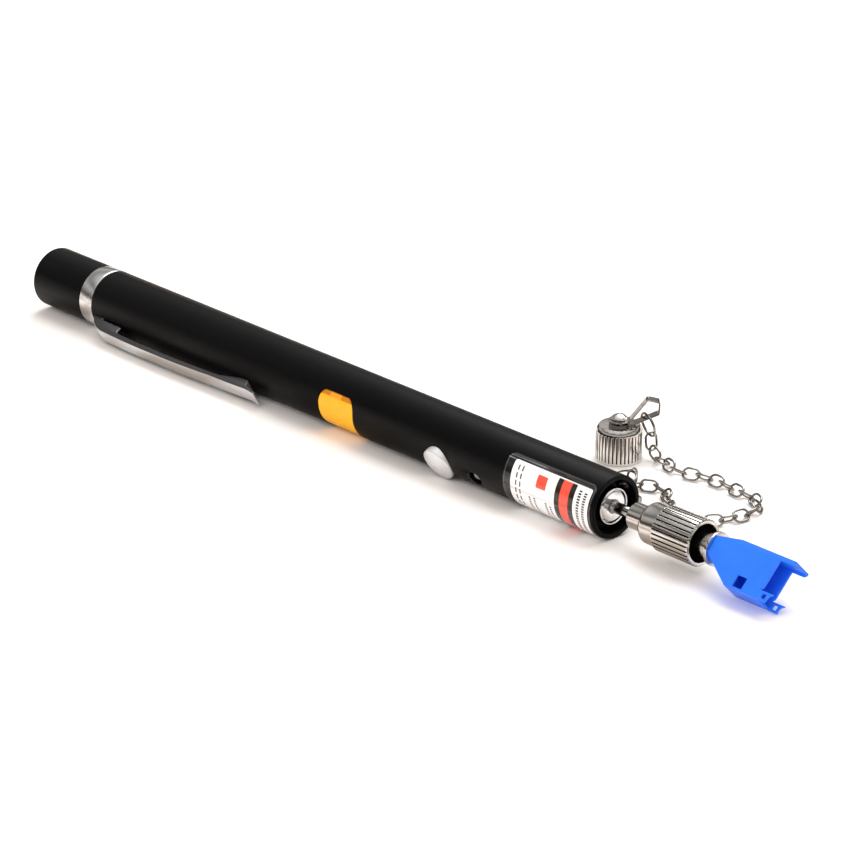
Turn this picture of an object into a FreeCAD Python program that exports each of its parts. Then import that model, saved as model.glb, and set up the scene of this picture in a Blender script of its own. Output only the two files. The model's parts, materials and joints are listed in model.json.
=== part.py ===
import FreeCAD, Part
import math
import os
import Sketcher

# Pen-type visual fault locator lying on its side: an aluminium tube with a tail cap, pocket clip,
# amber window, push button and status lamp, a screened front port, a plug-in converter that ends in
# a blue small-form socket, and a knurled dust cap tethered by a fine chain.
#
# Frame: +X runs from the tail to the socket along the optical axis, +Z is up, and the origin is the
# mouth of the alignment sleeve in the socket. Millimetres throughout.

DOC = FreeCAD.newDocument("VisualFaultLocator")
SHEET = DOC.addObject("Spreadsheet::Sheet", "Sizes")

SIZES = [
    # Tube, tail cap and ring
    ("tube_diameter", 14.0),
    ("tube_wall", 1.1),
    ("tube_length", 165.2),
    ("tube_edge_bevel", 0.25),
    ("cap_length", 17.4),
    ("cap_edge_round", 0.7),
    ("cap_end_wall", 1.6),
    ("cap_wall", 0.55),
    ("cap_spigot_length", 10.4),
    ("ring_length", 4.4),
    ("ring_bevel", 0.35),
    ("thread_clearance", 0.05),
    ("pen_roll", 118.0),
    # Battery train
    ("cell_diameter", 10.2),
    ("cell_length", 44.5),
    ("cell_nub_diameter", 3.6),
    ("cell_nub_height", 1.0),
    ("cell_play", 0.1),
    ("spring_wire", 0.6),
    ("spring_turns", 4.0),
    ("spring_space", 6.9),
    ("contact_thickness", 0.8),
    # Pocket clip
    ("clip_slot_start", 1.0),
    ("clip_width", 3.6),
    ("clip_thickness", 0.55),
    ("clip_reach", 3.2),
    ("clip_length", 59.0),
    ("clip_foot_length", 3.0),
    ("clip_wing_length", 10.0),
    ("clip_wall_height", 1.1),
    ("clip_lip_length", 4.2),
    ("clip_lip_rise", 1.4),
    ("clip_gap", 0.12),
    ("clip_root_run", 6.5),
    ("clip_root_radius", 8.0),
    ("clip_notch", 1.0),
    ("clip_sweep", 300.0),
    ("clip_lip_sweep", 14.0),
    ("clip_bow", 0.3),
    # Window
    ("window_length", 11.4),
    ("window_half_angle", 58.0),
    ("window_corner", 2.4),
    ("sleeve_wall", 1.0),
    ("sleeve_overlap", 2.6),
    ("sleeve_clearance", 0.05),
    # Button, lamp and board
    ("button_setback", 47.8),
    ("button_diameter", 8.1),
    ("button_stand", 1.1),
    ("button_dome", 0.85),
    ("button_skirt", 0.45),
    ("button_travel", 0.5),
    ("button_clearance", 0.08),
    ("button_skirt_height", 0.8),
    ("lamp_setback", 36.5),
    ("lamp_diameter", 3.0),
    ("lamp_dome", 1.20),
    ("lamp_hole_clearance", 0.2),
    ("lamp_sink", 0.55),
    ("lamp_rebate_depth", 0.35),
    ("lamp_rebate_width", 0.55),
    ("lamp_collar", 0.3),
    ("lamp_collar_height", 0.8),
    ("board_thickness", 1.0),
    ("board_clearance", 0.1),
    ("board_rear_gap", 1.4),
    ("board_front_gap", 0.4),
    ("switch_side", 6.0),
    ("switch_height", 1.6),
    ("plunger_diameter", 2.4),
    ("plunger_rise", 0.45),
    ("plunger_gap", 0.05),
    # Laser module and port
    ("module_diameter", 9.0),
    ("module_length", 20.0),
    ("module_lead", 6.0),
    ("lens_diameter", 4.0),
    ("lens_dish", 0.45),
    ("lens_thickness", 1.5),
    ("holder_front", 3.4),
    ("holder_length", 18.8),
    ("holder_relief", 1.5),
    ("port_diameter", 8.0),
    ("port_recess", 0.7),
    ("port_shank_length", 4.6),
    ("shank_set_back", 0.4),
    ("port_face_diameter", 7.0),
    ("port_groove_depth", 1.2),
    ("port_groove_width", 0.22),
    ("port_shank_diameter", 6.2),
    ("port_sleeve_diameter", 3.6),
    ("port_sleeve_length", 6.4),
    ("ferrule_diameter", 2.5),
    ("ferrule_clearance", 0.02),
    ("ferrule_insertion", 6.0),
    # Label
    ("label_setback", 26.9),
    ("label_length", 26.2),
    ("label_half_angle", 82.0),
    ("label_corner", 1.6),
    ("film_thickness", 0.1),
    # Converter: core, nut and socket
    ("core_gap", 5.5),
    ("core_diameter", 5.8),
    ("core_neck_length", 4.6),
    ("core_stop_diameter", 7.4),
    ("core_stop_length", 1.2),
    ("core_length", 24.0),
    ("core_flange_diameter", 7.4),
    ("core_flange_length", 0.8),
    ("nut_diameter", 10.2),
    ("nut_shoulder_diameter", 9.2),
    ("nut_shoulder_length", 4.6),
    ("nut_shoulder_round", 1.3),
    ("nut_knurl_length", 10.6),
    ("nut_back_wall", 1.5),
    ("nut_bore", 8.5),
    ("nut_flutes", 30.0),
    ("flute_depth", 0.32),
    ("nut_clearance", 0.08),
    ("socket_roll", 134.0),
    ("socket_thickness", 5.6),
    ("socket_wall", 0.55),
    ("socket_length", 17.6),
    ("socket_top", 3.2),
    ("socket_latch", 7.15),
    ("socket_back_half", 2.0),
    ("socket_taper_top", 6.6),
    ("socket_taper_latch", 8.4),
    ("socket_floor", 6.2),
    ("socket_tab_length", 3.8),
    ("socket_claw_depth", 2.1),
    ("catch_window", 2.6),
    ("catch_place", 10.2),
    ("fit_bore", 1.26),
    ("align_sleeve_diameter", 1.66),
    ("align_sleeve_length", 6.6),
    ("align_boss_diameter", 2.9),
    # Dust cap, rivet and strap
    ("dust_cap_setback", 30.3),
    ("dust_cap_across", 31.1),
    ("dust_cap_diameter", 10.2),
    ("dust_cap_height", 7.9),
    ("dust_cap_top", 1.3),
    ("dust_cap_ledge", 1.1),
    ("dust_cap_ledge_inset", 0.35),
    ("dust_cap_base_band", 0.5),
    ("dust_cap_crown_band", 0.25),
    ("dust_cap_bore_clearance", 0.15),
    ("dust_cap_flutes", 36.0),
    ("rivet_neck_diameter", 1.8),
    ("rivet_head_diameter", 3.6),
    ("rivet_head_height", 1.2),
    ("rivet_dome", 0.84),
    ("rivet_foot_diameter", 3.0),
    ("rivet_foot_height", 0.4),
    ("strap_angle", 47.0),
    ("strap_width", 2.3),
    ("strap_thickness", 0.35),
    ("strap_eye_diameter", 4.6),
    ("strap_gap", 0.5),
    ("strap_play", 0.06),
    ("strap_reach", 8.7),
    ("strap_rise", 6.0),
    ("strap_fold", 2.6),
    ("strap_tuck", 3.3),
    ("cap_ring_reach", 6.3),
    ("cap_ring_drop", -0.1),
    ("cap_ring_tilt", -15.0),
    ("cap_ring_turn", 27.0),
    # Chain and jump rings
    ("ring_wire", 0.6),
    ("jump_ring_diameter", 6.0),
    ("link_wire", 0.55),
    ("link_length", 4.5),
    ("link_width", 3.2),
    ("link_slack", 0.22),
    ("link_lift", 0.02),
    ("twist_links", 5.0),
    ("anchor_hole", 2.4),
    ("anchor_spacing", 4.5),
    ("anchor_setback", 5.0),
    ("anchor_lean", 18.0),
]

for row, (alias, number) in enumerate(SIZES, start=1):
    SHEET.set(f"A{row}", alias)
    SHEET.set(f"B{row}", str(number))
    SHEET.setAlias(f"B{row}", alias)
DOC.recompute()


class Size:
    """A length or angle that knows its number and the sheet expression it comes from."""

    def __init__(self, number, expression):
        self.number = float(number)
        self.expression = expression

    @staticmethod
    def of(item):
        if isinstance(item, Size):
            return item
        return Size(item, repr(float(item)))

    def _join(self, other, number, sign):
        return Size(number, f"({self.expression} {sign} {other.expression})")

    def __add__(self, other):
        other = Size.of(other)
        return self._join(other, self.number + other.number, "+")

    def __sub__(self, other):
        other = Size.of(other)
        return self._join(other, self.number - other.number, "-")

    def __mul__(self, other):
        other = Size.of(other)
        return self._join(other, self.number * other.number, "*")

    def __truediv__(self, other):
        other = Size.of(other)
        return self._join(other, self.number / other.number, "/")

    def __rsub__(self, other):
        return Size.of(other) - self

    def __neg__(self):
        return Size.of(0) - self

    __radd__ = __add__
    __rmul__ = __mul__


def size(alias):
    """Return the named cell of the sheet as a Size."""
    return Size(SHEET.get(alias), f"Sizes.{alias}")


ZERO = Size.of(0)
HALF_TURN = 180.0
FULL_TURN = 360.0
WIRE_SIDES = 6
OVERCUT = Size.of(1.0)
SLIVER = Size.of(0.1)
AXIS_X = FreeCAD.Vector(1, 0, 0)
AXIS_Y = FreeCAD.Vector(0, 1, 0)
AXIS_Z = FreeCAD.Vector(0, 0, 1)

# Derived radii and axial places. Places are measured from the tail end of the pen, then moved so
# that the mouth of the alignment sleeve is the origin.
TUBE_RADIUS = size("tube_diameter") / 2
BORE_RADIUS = TUBE_RADIUS - size("tube_wall")
TUBE_START = size("cap_length") + size("ring_length")
TUBE_FRONT = TUBE_START + size("tube_length")
CORE_START = TUBE_FRONT + size("core_gap")
SOCKET_START = CORE_START + size("core_length")
SLEEVE_MOUTH = SOCKET_START + size("socket_floor") + size("align_sleeve_length")
ORIGIN_SHIFT = SLEEVE_MOUTH
FLOOR = -TUBE_RADIUS


def cosine(angle):
    return Size(math.cos(math.radians(angle.number)), f"cos({angle.expression})")


def sine(angle):
    return Size(math.sin(math.radians(angle.number)), f"sin({angle.expression})")


def root(item):
    return Size(math.sqrt(item.number), f"sqrt({item.expression})")


WINDOW_SILL = TUBE_RADIUS * cosine(size("window_half_angle"))
WINDOW_HALF_WIDTH = TUBE_RADIUS * sine(size("window_half_angle"))
LABEL_EDGE = TUBE_RADIUS * cosine(size("label_half_angle"))
CELL_START = size("cap_end_wall") + size("spring_space")
CONTACT_START = CELL_START + size("cell_length") * 2 + size("cell_play")
SLEEVE_START = CONTACT_START + size("contact_thickness")
WINDOW_START = SLEEVE_START + size("sleeve_overlap")
SLEEVE_END = WINDOW_START + size("window_length") + size("sleeve_overlap")
BUTTON_PLACE = TUBE_FRONT - size("button_setback")
LAMP_PLACE = TUBE_FRONT - size("lamp_setback")
BOARD_TOP = ZERO
BOARD_FIT = BORE_RADIUS - size("board_clearance")
BOARD_HALF_WIDTH = root(BOARD_FIT * BOARD_FIT - size("board_thickness") * size("board_thickness"))
PLUNGER_TOP = BOARD_TOP + size("switch_height") + size("plunger_rise")
HOLDER_FRONT = TUBE_FRONT - size("holder_front")
HOLDER_START = HOLDER_FRONT - size("holder_length")
MODULE_START = HOLDER_START - size("module_lead")
BOARD_START = SLEEVE_END + size("board_rear_gap")
BOARD_LENGTH = MODULE_START - size("board_front_gap") - BOARD_START
DUST_CAP_ALONG = TUBE_FRONT - size("dust_cap_setback")
HEAD_LENGTH = size("holder_front") - size("port_recess")
PORT_FACE = TUBE_FRONT - size("port_recess")
NUT_START = CORE_START + size("core_neck_length")


def place(obj, along, across=ZERO, height=ZERO, roll=None, axis=AXIS_X):
    """Bind an object's Placement: along from the tail, across and height from the optical axis."""
    turn = roll.number if roll is not None else 0.0
    spot = FreeCAD.Vector((along - ORIGIN_SHIFT).number, Size.of(across).number, Size.of(height).number)
    obj.Placement = FreeCAD.Placement(spot, FreeCAD.Rotation(axis, turn))
    for letter, item in (("x", along - ORIGIN_SHIFT), ("y", across), ("z", height)):
        obj.setExpression(f"Placement.Base.{letter}", Size.of(item).expression)
    if roll is not None:
        obj.setExpression("Placement.Rotation.Angle", roll.expression)


def new_body(name):
    body = DOC.addObject("PartDesign::Body", name)
    body.Label = name
    return body


def plane_of(body, role):
    for feature in body.Origin.OriginFeatures:
        if feature.Role == role:
            return feature
    raise RuntimeError(f"{body.Name} has no {role}")


def new_sketch(body, role, name, offset=None):
    """Attach a sketch to an origin plane, moved along its normal by an offset where given."""
    sketch = body.newObject("Sketcher::SketchObject", f"{body.Name}_{name}")
    sketch.AttachmentSupport = [(plane_of(body, role), "")]
    sketch.MapMode = "FlatFace"
    if offset is not None:
        sketch.setExpression("AttachmentOffset.Base.z", offset.expression)
    return sketch


def pin_point(sketch, geometry, end, across, up):
    """Dimension one point of a sketch from the sketch origin."""
    for kind, item in (("DistanceX", across), ("DistanceY", up)):
        item = Size.of(item)
        index = sketch.addConstraint(Sketcher.Constraint(kind, -1, 1, geometry, end, item.number))
        sketch.setExpression(f"Constraints[{index}]", item.expression)


def add_polygon(sketch, points, arcs=None):
    """Draw a closed outline with every corner dimensioned.

    Args:
        sketch: The sketch to draw in.
        points: Corner places as (across, up) pairs, in order.
        arcs: Maps the number of a corner to the radius of the arc that leaves it. A positive
            radius keeps the arc's centre on the left of its chord.
    """
    arcs = arcs or {}
    corners = [FreeCAD.Vector(Size.of(a).number, Size.of(b).number, 0) for a, b in points]
    first = sketch.GeometryCount
    count = len(corners)
    begins, finishes = {}, {}
    for i, corner in enumerate(corners):
        after = corners[(i + 1) % count]
        begins[i], finishes[i] = 1, 2
        if i not in arcs:
            sketch.addGeometry(Part.LineSegment(corner, after))
            continue
        radius = arcs[i].number
        half = (after - corner) * 0.5
        left = AXIS_Z.cross(half).normalize()
        rise = math.sqrt(radius * radius - half.Length * half.Length)
        side = math.copysign(1.0, radius)
        centre = corner + half + left * (rise * side)
        crown = centre - left * (abs(radius) * side)
        sketch.addGeometry(Part.Arc(corner, crown, after))
        if side < 0:
            begins[i], finishes[i] = 2, 1
    for i in range(count):
        after = (i + 1) % count
        sketch.addConstraint(
            Sketcher.Constraint("Coincident", first + i, finishes[i], first + after, begins[after])
        )
    for i, (across, up) in enumerate(points):
        pin_point(sketch, first + i, begins[i], across, up)
    for i, radius in arcs.items():
        row = sketch.addConstraint(Sketcher.Constraint("Radius", first + i, abs(radius.number)))
        wanted = radius if radius.number > 0 else -radius
        sketch.setExpression(f"Constraints[{row}]", wanted.expression)


def add_rounded_box(sketch, low, high, radius):
    """Draw a rectangle with four equal round corners, centred on the sketch's across axis.

    Args:
        sketch: The sketch to draw in.
        low: The (across, up) corner with the smaller values.
        high: The (across, up) corner with the larger values.
        radius: Corner radius.
    """
    (left, bottom), (right, top) = low, high
    ring = [
        (left + radius, bottom),
        (right - radius, bottom),
        (right, bottom + radius),
        (right, top - radius),
        (right - radius, top),
        (left + radius, top),
        (left, top - radius),
        (left, bottom + radius),
    ]
    add_polygon(sketch, ring, {1: radius, 3: radius, 5: radius, 7: radius})


def dome_radius(base, rise):
    """Radius of the sphere whose cap has this base radius and rise."""
    return (base * base / rise + rise) / 2


def add_circle(sketch, across, up, radius):
    across, up, radius = Size.of(across), Size.of(up), Size.of(radius)
    centre = FreeCAD.Vector(across.number, up.number, 0)
    index = sketch.addGeometry(Part.Circle(centre, AXIS_Z, radius.number))
    pin_point(sketch, index, 3, across, up)
    row = sketch.addConstraint(Sketcher.Constraint("Radius", index, radius.number))
    sketch.setExpression(f"Constraints[{row}]", radius.expression)


def revolve(body, outline, arcs=None, name="turned"):
    """Turn a closed outline of (along, radius) points about the body's X axis."""
    sketch = new_sketch(body, "XY_Plane", name)
    add_polygon(sketch, outline, arcs)
    feature = body.newObject("PartDesign::Revolution", f"{body.Name}_{name}_turn")
    feature.Profile = sketch
    feature.ReferenceAxis = (sketch, ["H_Axis"])
    feature.Angle = FULL_TURN
    return feature


def turn_upright(body, outline, arcs=None, name="turned"):
    """Turn a closed outline of (radius, height) points about the body's Z axis."""
    sketch = new_sketch(body, "XZ_Plane", name)
    add_polygon(sketch, outline, arcs)
    feature = body.newObject("PartDesign::Revolution", f"{body.Name}_{name}_turn")
    feature.Profile = sketch
    feature.ReferenceAxis = (sketch, ["V_Axis"])
    feature.Angle = FULL_TURN
    return feature


def pad(body, sketch, length, midplane=False, backwards=False):
    feature = body.newObject("PartDesign::Pad", f"{sketch.Name}_pad")
    feature.Profile = sketch
    feature.Length = Size.of(length).number
    feature.setExpression("Length", Size.of(length).expression)
    feature.Midplane = midplane
    feature.Reversed = backwards
    return feature


def cut(body, sketch, length, midplane=False, backwards=False):
    """Cut a pocket and make sure that it took material away."""
    before = settled_volume(body)
    feature = body.newObject("PartDesign::Pocket", f"{sketch.Name}_cut")
    feature.Profile = sketch
    feature.Length = Size.of(length).number
    feature.setExpression("Length", Size.of(length).expression)
    feature.Midplane = midplane
    feature.Reversed = backwards
    if settled_volume(body) >= before:
        raise RuntimeError(f"{feature.Name} cuts nothing")
    return feature


def settled_volume(body):
    DOC.recompute()
    return body.Shape.Volume


def repeat_round(body, feature, axis_role, count):
    pattern = body.newObject("PartDesign::PolarPattern", f"{feature.Name}_ring")
    pattern.Originals = [feature]
    pattern.Axis = (plane_of(body, axis_role), [""])
    pattern.Angle = FULL_TURN
    pattern.Occurrences = int(count.number)
    pattern.setExpression("Occurrences", count.expression)
    body.Tip = pattern
    return pattern


def round_edges(body, radius, wanted):
    """Round every edge whose curve and middle point satisfy the test."""
    DOC.recompute()
    base = body.Tip
    names = [f"Edge{i}" for i, edge in enumerate(base.Shape.Edges, start=1) if wanted(edge)]
    if not names:
        raise RuntimeError(f"{body.Name} has no edge to round")
    feature = body.newObject("PartDesign::Fillet", f"{body.Name}_round{len(body.Group)}")
    feature.Base = (base, names)
    feature.Radius = radius.number
    feature.setExpression("Radius", radius.expression)
    DOC.recompute()
    return feature


def is_ring_at(along, radius, slack=0.01):
    """Test for a full circle about X at one place along the axis."""

    def wanted(edge):
        curve = edge.Curve
        if not isinstance(curve, Part.Circle):
            return False
        near_place = abs(curve.Center.x - along.number) < slack
        return near_place and abs(curve.Radius - radius.number) < slack

    return wanted


def rounded_wire(corners, radius):
    """Join corners by straight runs with tangent arcs of one radius at each inner corner."""
    edges = []
    start = corners[0]
    for before, corner, after in zip(corners, corners[1:], corners[2:]):
        back = (before - corner).normalize()
        ahead = (after - corner).normalize()
        half = back.getAngle(ahead) / 2
        setback = radius / math.tan(half)
        entry = corner + back * setback
        leave = corner + ahead * setback
        bisector = (back + ahead).normalize()
        crown = corner + bisector * (radius / math.sin(half) - radius)
        edges.append(Part.makeLine(start, entry))
        edges.append(Part.Arc(entry, crown, leave).toShape())
        start = leave
    edges.append(Part.makeLine(start, corners[-1]))
    return Part.Wire(edges)


def wire_sections(path, radius, up, closed):
    """Six-sided sections across a path, mitred so that each run between them is a true prism."""
    last = len(path) - 1
    sections = []
    for i, corner in enumerate(path):
        runs = []
        if i > 0 or closed:
            runs.append((corner - path[i - 1]).normalize())
        if i < last or closed:
            runs.append((path[(i + 1) % len(path)] - corner).normalize())
        along = (runs[0] + runs[-1]).normalize()
        stretch = radius / math.cos(runs[0].getAngle(runs[-1]) / 2)
        side = along.cross(up).normalize()
        rise = side.cross(along)
        ring = []
        for k in range(WIRE_SIDES):
            angle = 2 * math.pi * (k + 0.5) / WIRE_SIDES
            ring.append(corner + side * (stretch * math.cos(angle)) + rise * (radius * math.sin(angle)))
        sections.append(ring)
    return sections


def wire_solid(path, radius, up=AXIS_Z, closed=True):
    """Solid wire of one thickness along the corners of a path that turns about one direction."""
    sections = wire_sections(path, radius, up, closed)
    faces = []
    ahead = sections[1:] + sections[:1] if closed else sections[1:]
    for near, far in zip(sections, ahead):
        for k in range(WIRE_SIDES):
            turn = (k + 1) % WIRE_SIDES
            if closed:
                corners = [[near[k], near[turn], far[turn], far[k]]]
            else:
                corners = [[near[k], near[turn], far[turn]], [near[k], far[turn], far[k]]]
            faces += [Part.Face(Part.makePolygon(loop + loop[:1])) for loop in corners]
    if not closed:
        for ring in (sections[0], sections[-1]):
            faces.append(Part.Face(Part.makePolygon(ring + ring[:1])))
    solid = Part.Solid(Part.Shell(faces))
    if solid.Volume < 0:
        solid.reverse()
    return solid


def make_tail_cap():
    """Closed cap: knurl-free barrel with a threaded spigot that enters the tube."""
    body = new_body("tail_cap")
    length, spigot = size("cap_length"), size("cap_spigot_length")
    neck = BORE_RADIUS - size("thread_clearance")
    bore = neck - size("cap_wall")
    wall = size("cap_end_wall")
    outline = [
        (ZERO, ZERO),
        (ZERO, TUBE_RADIUS),
        (length, TUBE_RADIUS),
        (length, neck),
        (length + spigot, neck),
        (length + spigot, bore),
        (wall, bore),
        (wall, ZERO),
    ]
    revolve(body, outline)
    round_edges(body, size("cap_edge_round"), is_ring_at(ZERO, TUBE_RADIUS))
    place(body, ZERO)
    return body


def make_tail_ring():
    """Plain trim ring, trapped on the spigot between the cap and the tube."""
    body = new_body("tail_ring")
    length, bevel = size("ring_length"), size("ring_bevel")
    outline = [
        (ZERO, BORE_RADIUS),
        (ZERO, TUBE_RADIUS),
        (length - bevel, TUBE_RADIUS),
        (length, TUBE_RADIUS - bevel),
        (length, BORE_RADIUS),
    ]
    revolve(body, outline)
    place(body, size("cap_length"))
    return body


def make_body_tube():
    """The main tube with its clip slot, window, button hole, lamp hole and chain holes."""
    body = new_body("body_tube")
    length = size("tube_length")
    bevel = size("tube_edge_bevel")
    outline = [
        (ZERO, BORE_RADIUS),
        (ZERO, TUBE_RADIUS),
        (length - bevel, TUBE_RADIUS),
        (length, TUBE_RADIUS - bevel),
        (length, BORE_RADIUS + bevel),
        (length - bevel, BORE_RADIUS),
    ]
    revolve(body, outline)
    above = TUBE_RADIUS + OVERCUT

    slot = new_sketch(body, "XY_Plane", "clip_slot")
    start = size("clip_slot_start")
    half = size("clip_width") / 2 + size("clip_gap")
    slot_end = start + size("clip_foot_length") + size("clip_gap") * 2
    add_polygon(slot, [(start, -half), (slot_end, -half), (slot_end, half), (start, half)])
    cut(body, slot, above, backwards=True)

    window = new_sketch(body, "XY_Plane", "window", WINDOW_SILL)
    start = WINDOW_START - TUBE_START
    add_rounded_box(
        window,
        (start, -WINDOW_HALF_WIDTH),
        (start + size("window_length"), WINDOW_HALF_WIDTH),
        size("window_corner"),
    )
    cut(body, window, above, backwards=True)

    holes = new_sketch(body, "XY_Plane", "face_holes")
    button = size("button_diameter") / 2 + size("button_clearance")
    add_circle(holes, BUTTON_PLACE - TUBE_START, ZERO, button)
    lamp = size("lamp_diameter") / 2 + size("lamp_hole_clearance")
    add_circle(holes, LAMP_PLACE - TUBE_START, ZERO, lamp)
    cut(body, holes, above, backwards=True)

    rebate = new_sketch(body, "XY_Plane", "lamp_rebate", TUBE_RADIUS - size("lamp_rebate_depth"))
    add_circle(rebate, LAMP_PLACE - TUBE_START, ZERO, lamp + size("lamp_rebate_width"))
    cut(body, rebate, above, backwards=True)

    anchors = new_sketch(body, "XY_Plane", "chain_holes")
    middle = length - size("anchor_setback")
    for side in (-1, 1):
        offset = size("anchor_spacing") / 2 * side
        add_circle(anchors, middle + offset, ZERO, size("anchor_hole") / 2)
    cut(body, anchors, above)
    place(body, TUBE_START, roll=size("pen_roll"))
    return body


def make_window_sleeve():
    """Clear amber sleeve behind the window."""
    body = new_body("window_sleeve")
    outer = BORE_RADIUS - size("sleeve_clearance")
    inner = outer - size("sleeve_wall")
    length = size("window_length") + size("sleeve_overlap") * 2
    revolve(body, [(ZERO, inner), (ZERO, outer), (length, outer), (length, inner)])
    place(body, SLEEVE_START)
    return body


CLIP_CREST_SHARE = 0.42
CLIP_BEND_SHARE = 0.75
CLIP_CHANNEL_SHARE = 0.8
CLIP_UNDER_LAG = 0.03


def make_pocket_clip():
    """Stamped spring clip: a channel section with root wings, a sprung arm and a turned-up lip."""
    body = new_body("pocket_clip")
    gap, thick = size("clip_gap"), size("clip_thickness")
    foot = size("clip_foot_length")
    length = size("clip_length")
    crest = TUBE_RADIUS + size("clip_reach")
    tail = length - size("clip_lip_length")
    seat = TUBE_RADIUS + gap
    wing = size("clip_wing_length")
    root_run, notch = size("clip_root_run"), size("clip_notch")
    wing_corner = (wing + notch, crest - size("clip_wall_height"))
    outline = [
        (gap, BORE_RADIUS + gap),
        (gap, seat),
        (root_run, crest),
        (length * CLIP_CREST_SHARE, crest + size("clip_bow")),
        (length * CLIP_BEND_SHARE, crest - size("clip_bow")),
        (tail, crest - size("clip_bow") * 2),
        (length, crest - size("clip_bow")),
        (length, crest - size("clip_bow") - thick),
        (tail + thick, seat + size("clip_lip_rise")),
        (tail, seat),
        (tail - size("clip_lip_length") / 2, seat),
        (length * (CLIP_BEND_SHARE + CLIP_UNDER_LAG), crest - size("clip_bow") - size("clip_wall_height")),
        (length * (CLIP_CREST_SHARE + CLIP_UNDER_LAG), crest + size("clip_bow") - size("clip_wall_height")),
        wing_corner,
        (wing, crest - size("clip_wall_height") - notch),
        (wing, seat + gap),
        (foot + gap, seat + gap),
        (foot + gap, BORE_RADIUS + gap),
    ]
    sweep = -size("clip_sweep")
    arcs = {1: -size("clip_root_radius"), 2: sweep, 3: sweep, 4: sweep, 5: size("clip_lip_sweep")}
    arcs[outline.index(wing_corner)] = notch
    side = new_sketch(body, "XZ_Plane", "side")
    add_polygon(side, outline, arcs)
    pad(body, side, size("clip_width"), midplane=True)
    channel = new_sketch(body, "XZ_Plane", "channel")
    under = [
        (foot + thick, ZERO),
        (foot + thick, seat),
        (root_run, crest - thick),
        (length * CLIP_CREST_SHARE, crest + size("clip_bow") - thick),
        (length * CLIP_BEND_SHARE, crest - size("clip_bow") - thick),
        (length * CLIP_CHANNEL_SHARE, crest - size("clip_bow") - thick),
        (length * CLIP_CHANNEL_SHARE, ZERO),
    ]
    add_polygon(channel, under)
    cut(body, channel, size("clip_width") - thick * 2, midplane=True)
    place(body, TUBE_START + size("clip_slot_start"), roll=size("pen_roll"))
    return body


def make_push_button():
    """Domed cap with a retaining skirt inside the tube."""
    body = new_body("push_button")
    radius = size("button_diameter") / 2
    top = TUBE_RADIUS + size("button_stand")
    shoulder = top - size("button_dome")
    foot = PLUNGER_TOP + size("plunger_gap") + size("button_travel")
    skirt = radius + size("button_skirt")
    skirt_top = foot + size("button_skirt_height")
    outline = [(ZERO, foot), (skirt, foot), (skirt, skirt_top), (radius, skirt_top)]
    outline += [(radius, shoulder), (ZERO, top)]
    turn_upright(body, outline, {4: dome_radius(radius, size("button_dome"))})
    place(body, BUTTON_PLACE, roll=size("pen_roll"))
    return body


def make_button_switch():
    """Square key switch with a round plunger under the button."""
    body = new_body("button_switch")
    half = size("switch_side") / 2
    case = new_sketch(body, "XY_Plane", "case", BOARD_TOP)
    add_polygon(case, [(-half, -half), (half, -half), (half, half), (-half, half)])
    pad(body, case, size("switch_height"))
    plunger = new_sketch(body, "XY_Plane", "plunger", BOARD_TOP)
    add_circle(plunger, ZERO, ZERO, size("plunger_diameter") / 2)
    pad(body, plunger, PLUNGER_TOP - BOARD_TOP)
    place(body, BUTTON_PLACE, roll=size("pen_roll"))
    return body


def make_indicator_led():
    """Round lamp with a flanged foot on the board and its dome in the tube's hole."""
    body = new_body("indicator_led")
    radius = size("lamp_diameter") / 2
    top = TUBE_RADIUS - size("lamp_sink")
    collar = radius + size("lamp_collar")
    collar_top = BOARD_TOP + size("lamp_collar_height")
    outline = [(ZERO, BOARD_TOP), (collar, BOARD_TOP), (collar, collar_top), (radius, collar_top)]
    dome = size("lamp_dome")
    outline += [(radius, top - dome), (ZERO, top)]
    turn_upright(body, outline, {4: dome_radius(radius, dome)})
    place(body, LAMP_PLACE, roll=size("pen_roll"))
    return body


def make_circuit_board():
    body = new_body("circuit_board")
    outline = new_sketch(body, "XY_Plane", "outline", BOARD_TOP - size("board_thickness"))
    half = BOARD_HALF_WIDTH
    length = BOARD_LENGTH
    add_polygon(outline, [(ZERO, -half), (length, -half), (length, half), (ZERO, half)])
    pad(body, outline, size("board_thickness"))
    place(body, BOARD_START, roll=size("pen_roll"))
    return body


def make_cells():
    """Two round cells in line, nub towards the socket."""
    cells = []
    radius = size("cell_diameter") / 2
    nub = size("cell_nub_diameter") / 2
    can = size("cell_length") - size("cell_nub_height")
    for turn, name in enumerate(("battery_rear", "battery_front")):
        body = new_body(name)
        outline = [(ZERO, ZERO), (ZERO, radius), (can, radius), (can, nub)]
        outline += [(size("cell_length"), nub), (size("cell_length"), ZERO)]
        revolve(body, outline)
        place(body, CELL_START + size("cell_length") * turn)
        cells.append(body)
    return cells


def make_front_contact():
    """Contact disc against the front cell, seated on the window sleeve."""
    body = new_body("front_contact")
    thick = size("contact_thickness")
    outer = BORE_RADIUS - size("sleeve_clearance")
    revolve(body, [(ZERO, ZERO), (ZERO, outer), (thick, outer), (thick, ZERO)])
    place(body, CONTACT_START)
    return body


SPRING_TURN_RUNS = 12
LINK_BEND_RUNS = 6
JUMP_RING_RUNS = 18


def make_tail_spring():
    """Coil spring between the cap's end wall and the rear cell."""
    spring = DOC.addObject("Part::Feature", "tail_spring")
    spring.Label = "tail_spring"
    wire = size("spring_wire").number
    space = size("spring_space").number
    radius = size("cell_diameter").number / 2 - wire * 2
    turns = size("spring_turns").number
    rise = space - wire
    count = round(turns * SPRING_TURN_RUNS)
    path = []
    for i in range(count + 1):
        angle = 2 * math.pi * turns * i / count
        path.append(FreeCAD.Vector(radius * math.cos(angle), radius * math.sin(angle), rise * i / count))
    spring.Shape = wire_solid(path, wire / 2, closed=False)
    quarter = Size.of(HALF_TURN / 2)
    place(spring, size("cap_end_wall") + size("spring_wire") / 2, roll=quarter, axis=AXIS_Y)
    return spring


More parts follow.
